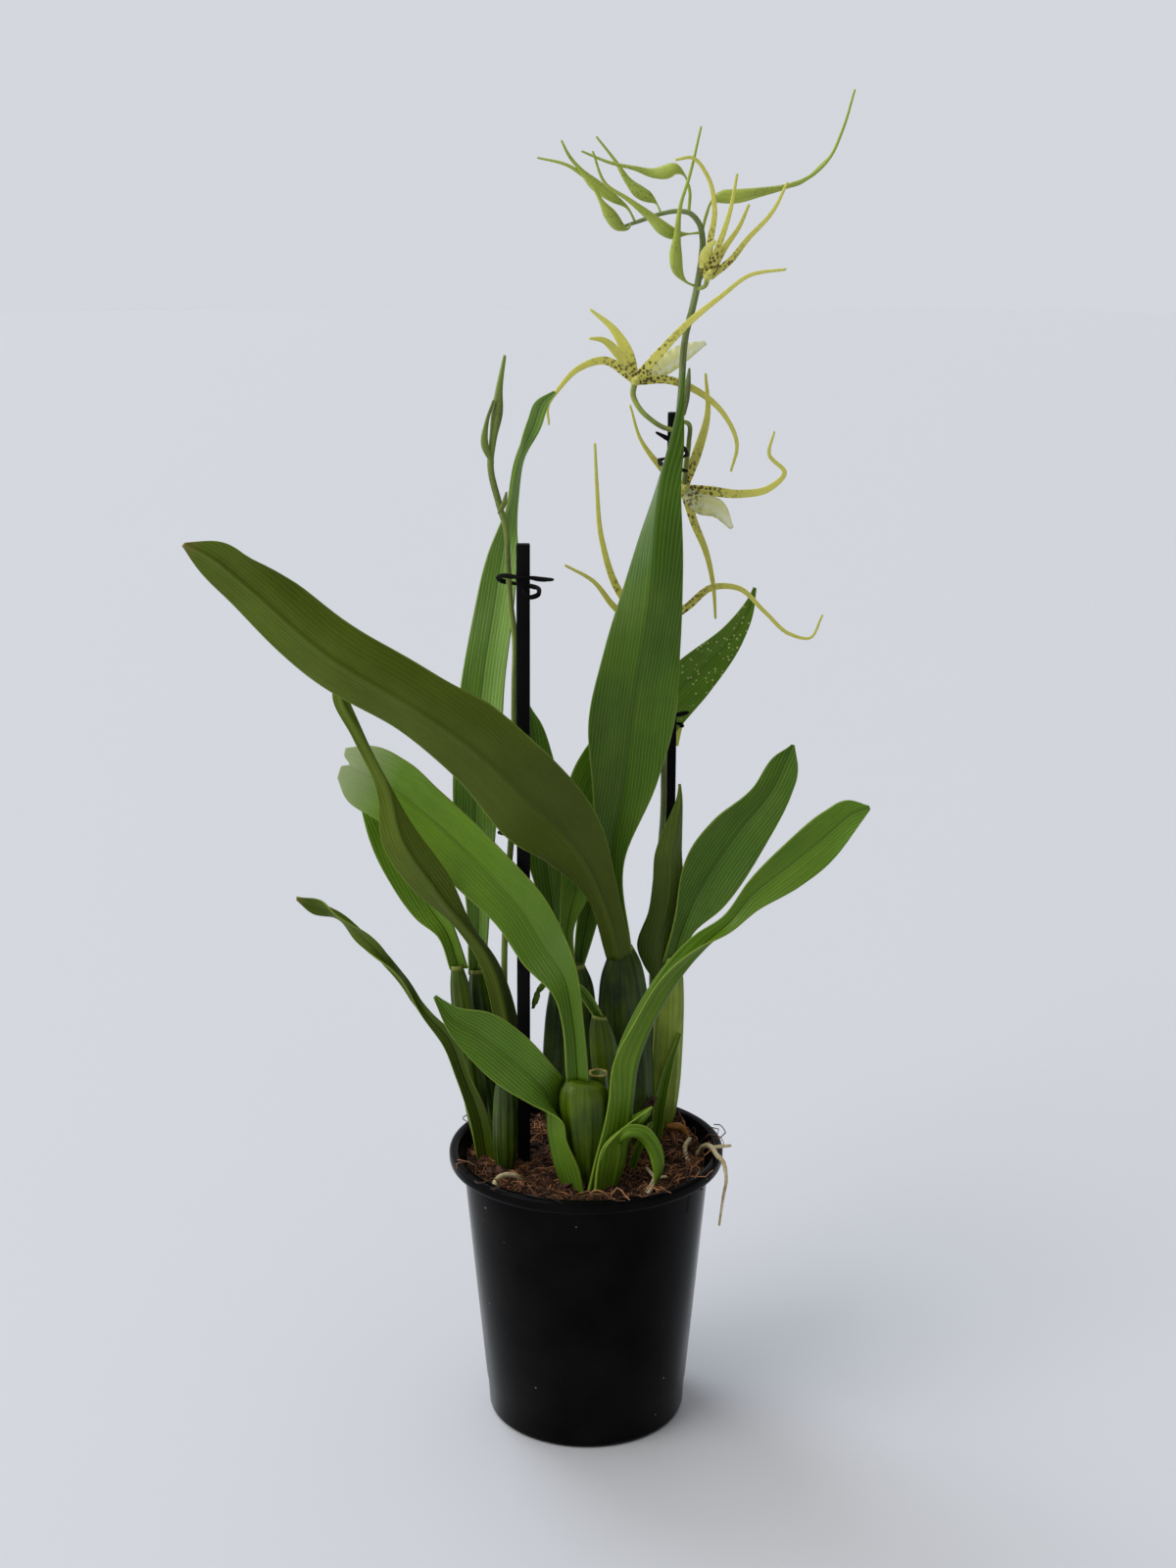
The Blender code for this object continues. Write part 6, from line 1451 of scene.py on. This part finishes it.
class ORCHID_OT_chips(Operator):
    """Scatter flakes of pine bark over the mix"""
    bl_idname = "orchid.chips"
    bl_label = "Bark Chips"

    def execute(self, context):
        build_chips(context.scene.orchid_sizes, context.scene.orchid_colours)
        return {"FINISHED"}


class ORCHID_OT_fibres(Operator):
    """Lay loose coir fibres over the mix"""
    bl_idname = "orchid.fibres"
    bl_label = "Coir Fibres"

    def execute(self, context):
        build_fibres(context.scene.orchid_sizes)
        return {"FINISHED"}


class ORCHID_OT_stakes(Operator):
    """Stand the two square plant stakes in the mix"""
    bl_idname = "orchid.stakes"
    bl_label = "Plant Stakes"

    def execute(self, context):
        build_stakes(context.scene.orchid_sizes, context.scene.orchid_colours)
        return {"FINISHED"}


class ORCHID_OT_ties(Operator):
    """Wrap the twist ties round the stakes and spikes"""
    bl_idname = "orchid.ties"
    bl_label = "Twist Ties"

    def execute(self, context):
        build_ties(context.scene.orchid_colours)
        return {"FINISHED"}


class ORCHID_OT_bulbs(Operator):
    """Raise the ridged pseudobulbs and the cut leaf stub"""
    bl_idname = "orchid.bulbs"
    bl_label = "Pseudobulbs"

    def execute(self, context):
        build_bulbs(context.scene.orchid_colours)
        return {"FINISHED"}


class ORCHID_OT_leaves(Operator):
    """Unfold every leaf and sheath from its own stations"""
    bl_idname = "orchid.leaves"
    bl_label = "Leaves"

    def execute(self, context):
        build_leaves(context.scene.orchid_sizes, context.scene.orchid_colours)
        return {"FINISHED"}


class ORCHID_OT_spikes(Operator):
    """Grow both flower spikes with their bracts"""
    bl_idname = "orchid.spikes"
    bl_label = "Flower Spikes"

    def execute(self, context):
        build_spikes(context.scene.orchid_colours)
        return {"FINISHED"}


class ORCHID_OT_buds(Operator):
    """Hang the closed buds on the tall spike"""
    bl_idname = "orchid.buds"
    bl_label = "Buds"

    def execute(self, context):
        build_buds(context.scene.orchid_colours)
        return {"FINISHED"}


class ORCHID_OT_blooms(Operator):
    """Open the four flowers with their tepals and lips"""
    bl_idname = "orchid.blooms"
    bl_label = "Flowers"

    def execute(self, context):
        build_blooms(context.scene.orchid_sizes, context.scene.orchid_colours)
        return {"FINISHED"}


class ORCHID_OT_roots(Operator):
    """Trail the corky roots over the mix and the rim"""
    bl_idname = "orchid.roots"
    bl_label = "Aerial Roots"

    def execute(self, context):
        build_roots(context.scene.orchid_colours)
        return {"FINISHED"}


class ORCHID_OT_stage(Operator):
    """Lay the pale floor and set the soft lights and the camera"""
    bl_idname = "orchid.stage"
    bl_label = "Studio Stage"

    def execute(self, context):
        build_stage(context.scene.orchid_colours)
        return {"FINISHED"}


OPERATORS = (ORCHID_OT_pot, ORCHID_OT_mix, ORCHID_OT_chips, ORCHID_OT_fibres, ORCHID_OT_stakes,
             ORCHID_OT_ties, ORCHID_OT_bulbs, ORCHID_OT_leaves, ORCHID_OT_spikes,
             ORCHID_OT_buds, ORCHID_OT_blooms, ORCHID_OT_roots, ORCHID_OT_stage)


class ORCHID_PT_panel(Panel):
    """Sizes, colours and building steps of the orchid"""
    bl_idname = "ORCHID_PT_panel"
    bl_label = "Potted Orchid"
    bl_space_type = "VIEW_3D"
    bl_region_type = "UI"
    bl_category = "Orchid"

    def draw(self, context):
        layout = self.layout
        for group in (context.scene.orchid_sizes, context.scene.orchid_colours):
            box = layout.box()
            for key in type(group).__annotations__:
                box.prop(group, key)
        for operator in OPERATORS:
            layout.operator(operator.bl_idname)


CLASSES = (OrchidSizes, OrchidColours, *OPERATORS, ORCHID_PT_panel)


def register():
    """Adds the classes, and the two groups to the scene."""
    for item in CLASSES:
        bpy.utils.register_class(item)
    bpy.types.Scene.orchid_sizes = PointerProperty(type=OrchidSizes)
    bpy.types.Scene.orchid_colours = PointerProperty(type=OrchidColours)


def unregister():
    """Takes the groups and the classes away again."""
    del bpy.types.Scene.orchid_colours
    del bpy.types.Scene.orchid_sizes
    for item in reversed(CLASSES):
        bpy.utils.unregister_class(item)


def main():
    """Builds everything in order."""
    register()
    for operator in OPERATORS:
        getattr(bpy.ops.orchid, operator.bl_idname.split(".")[1])()


if __name__ == "__main__":
    main()
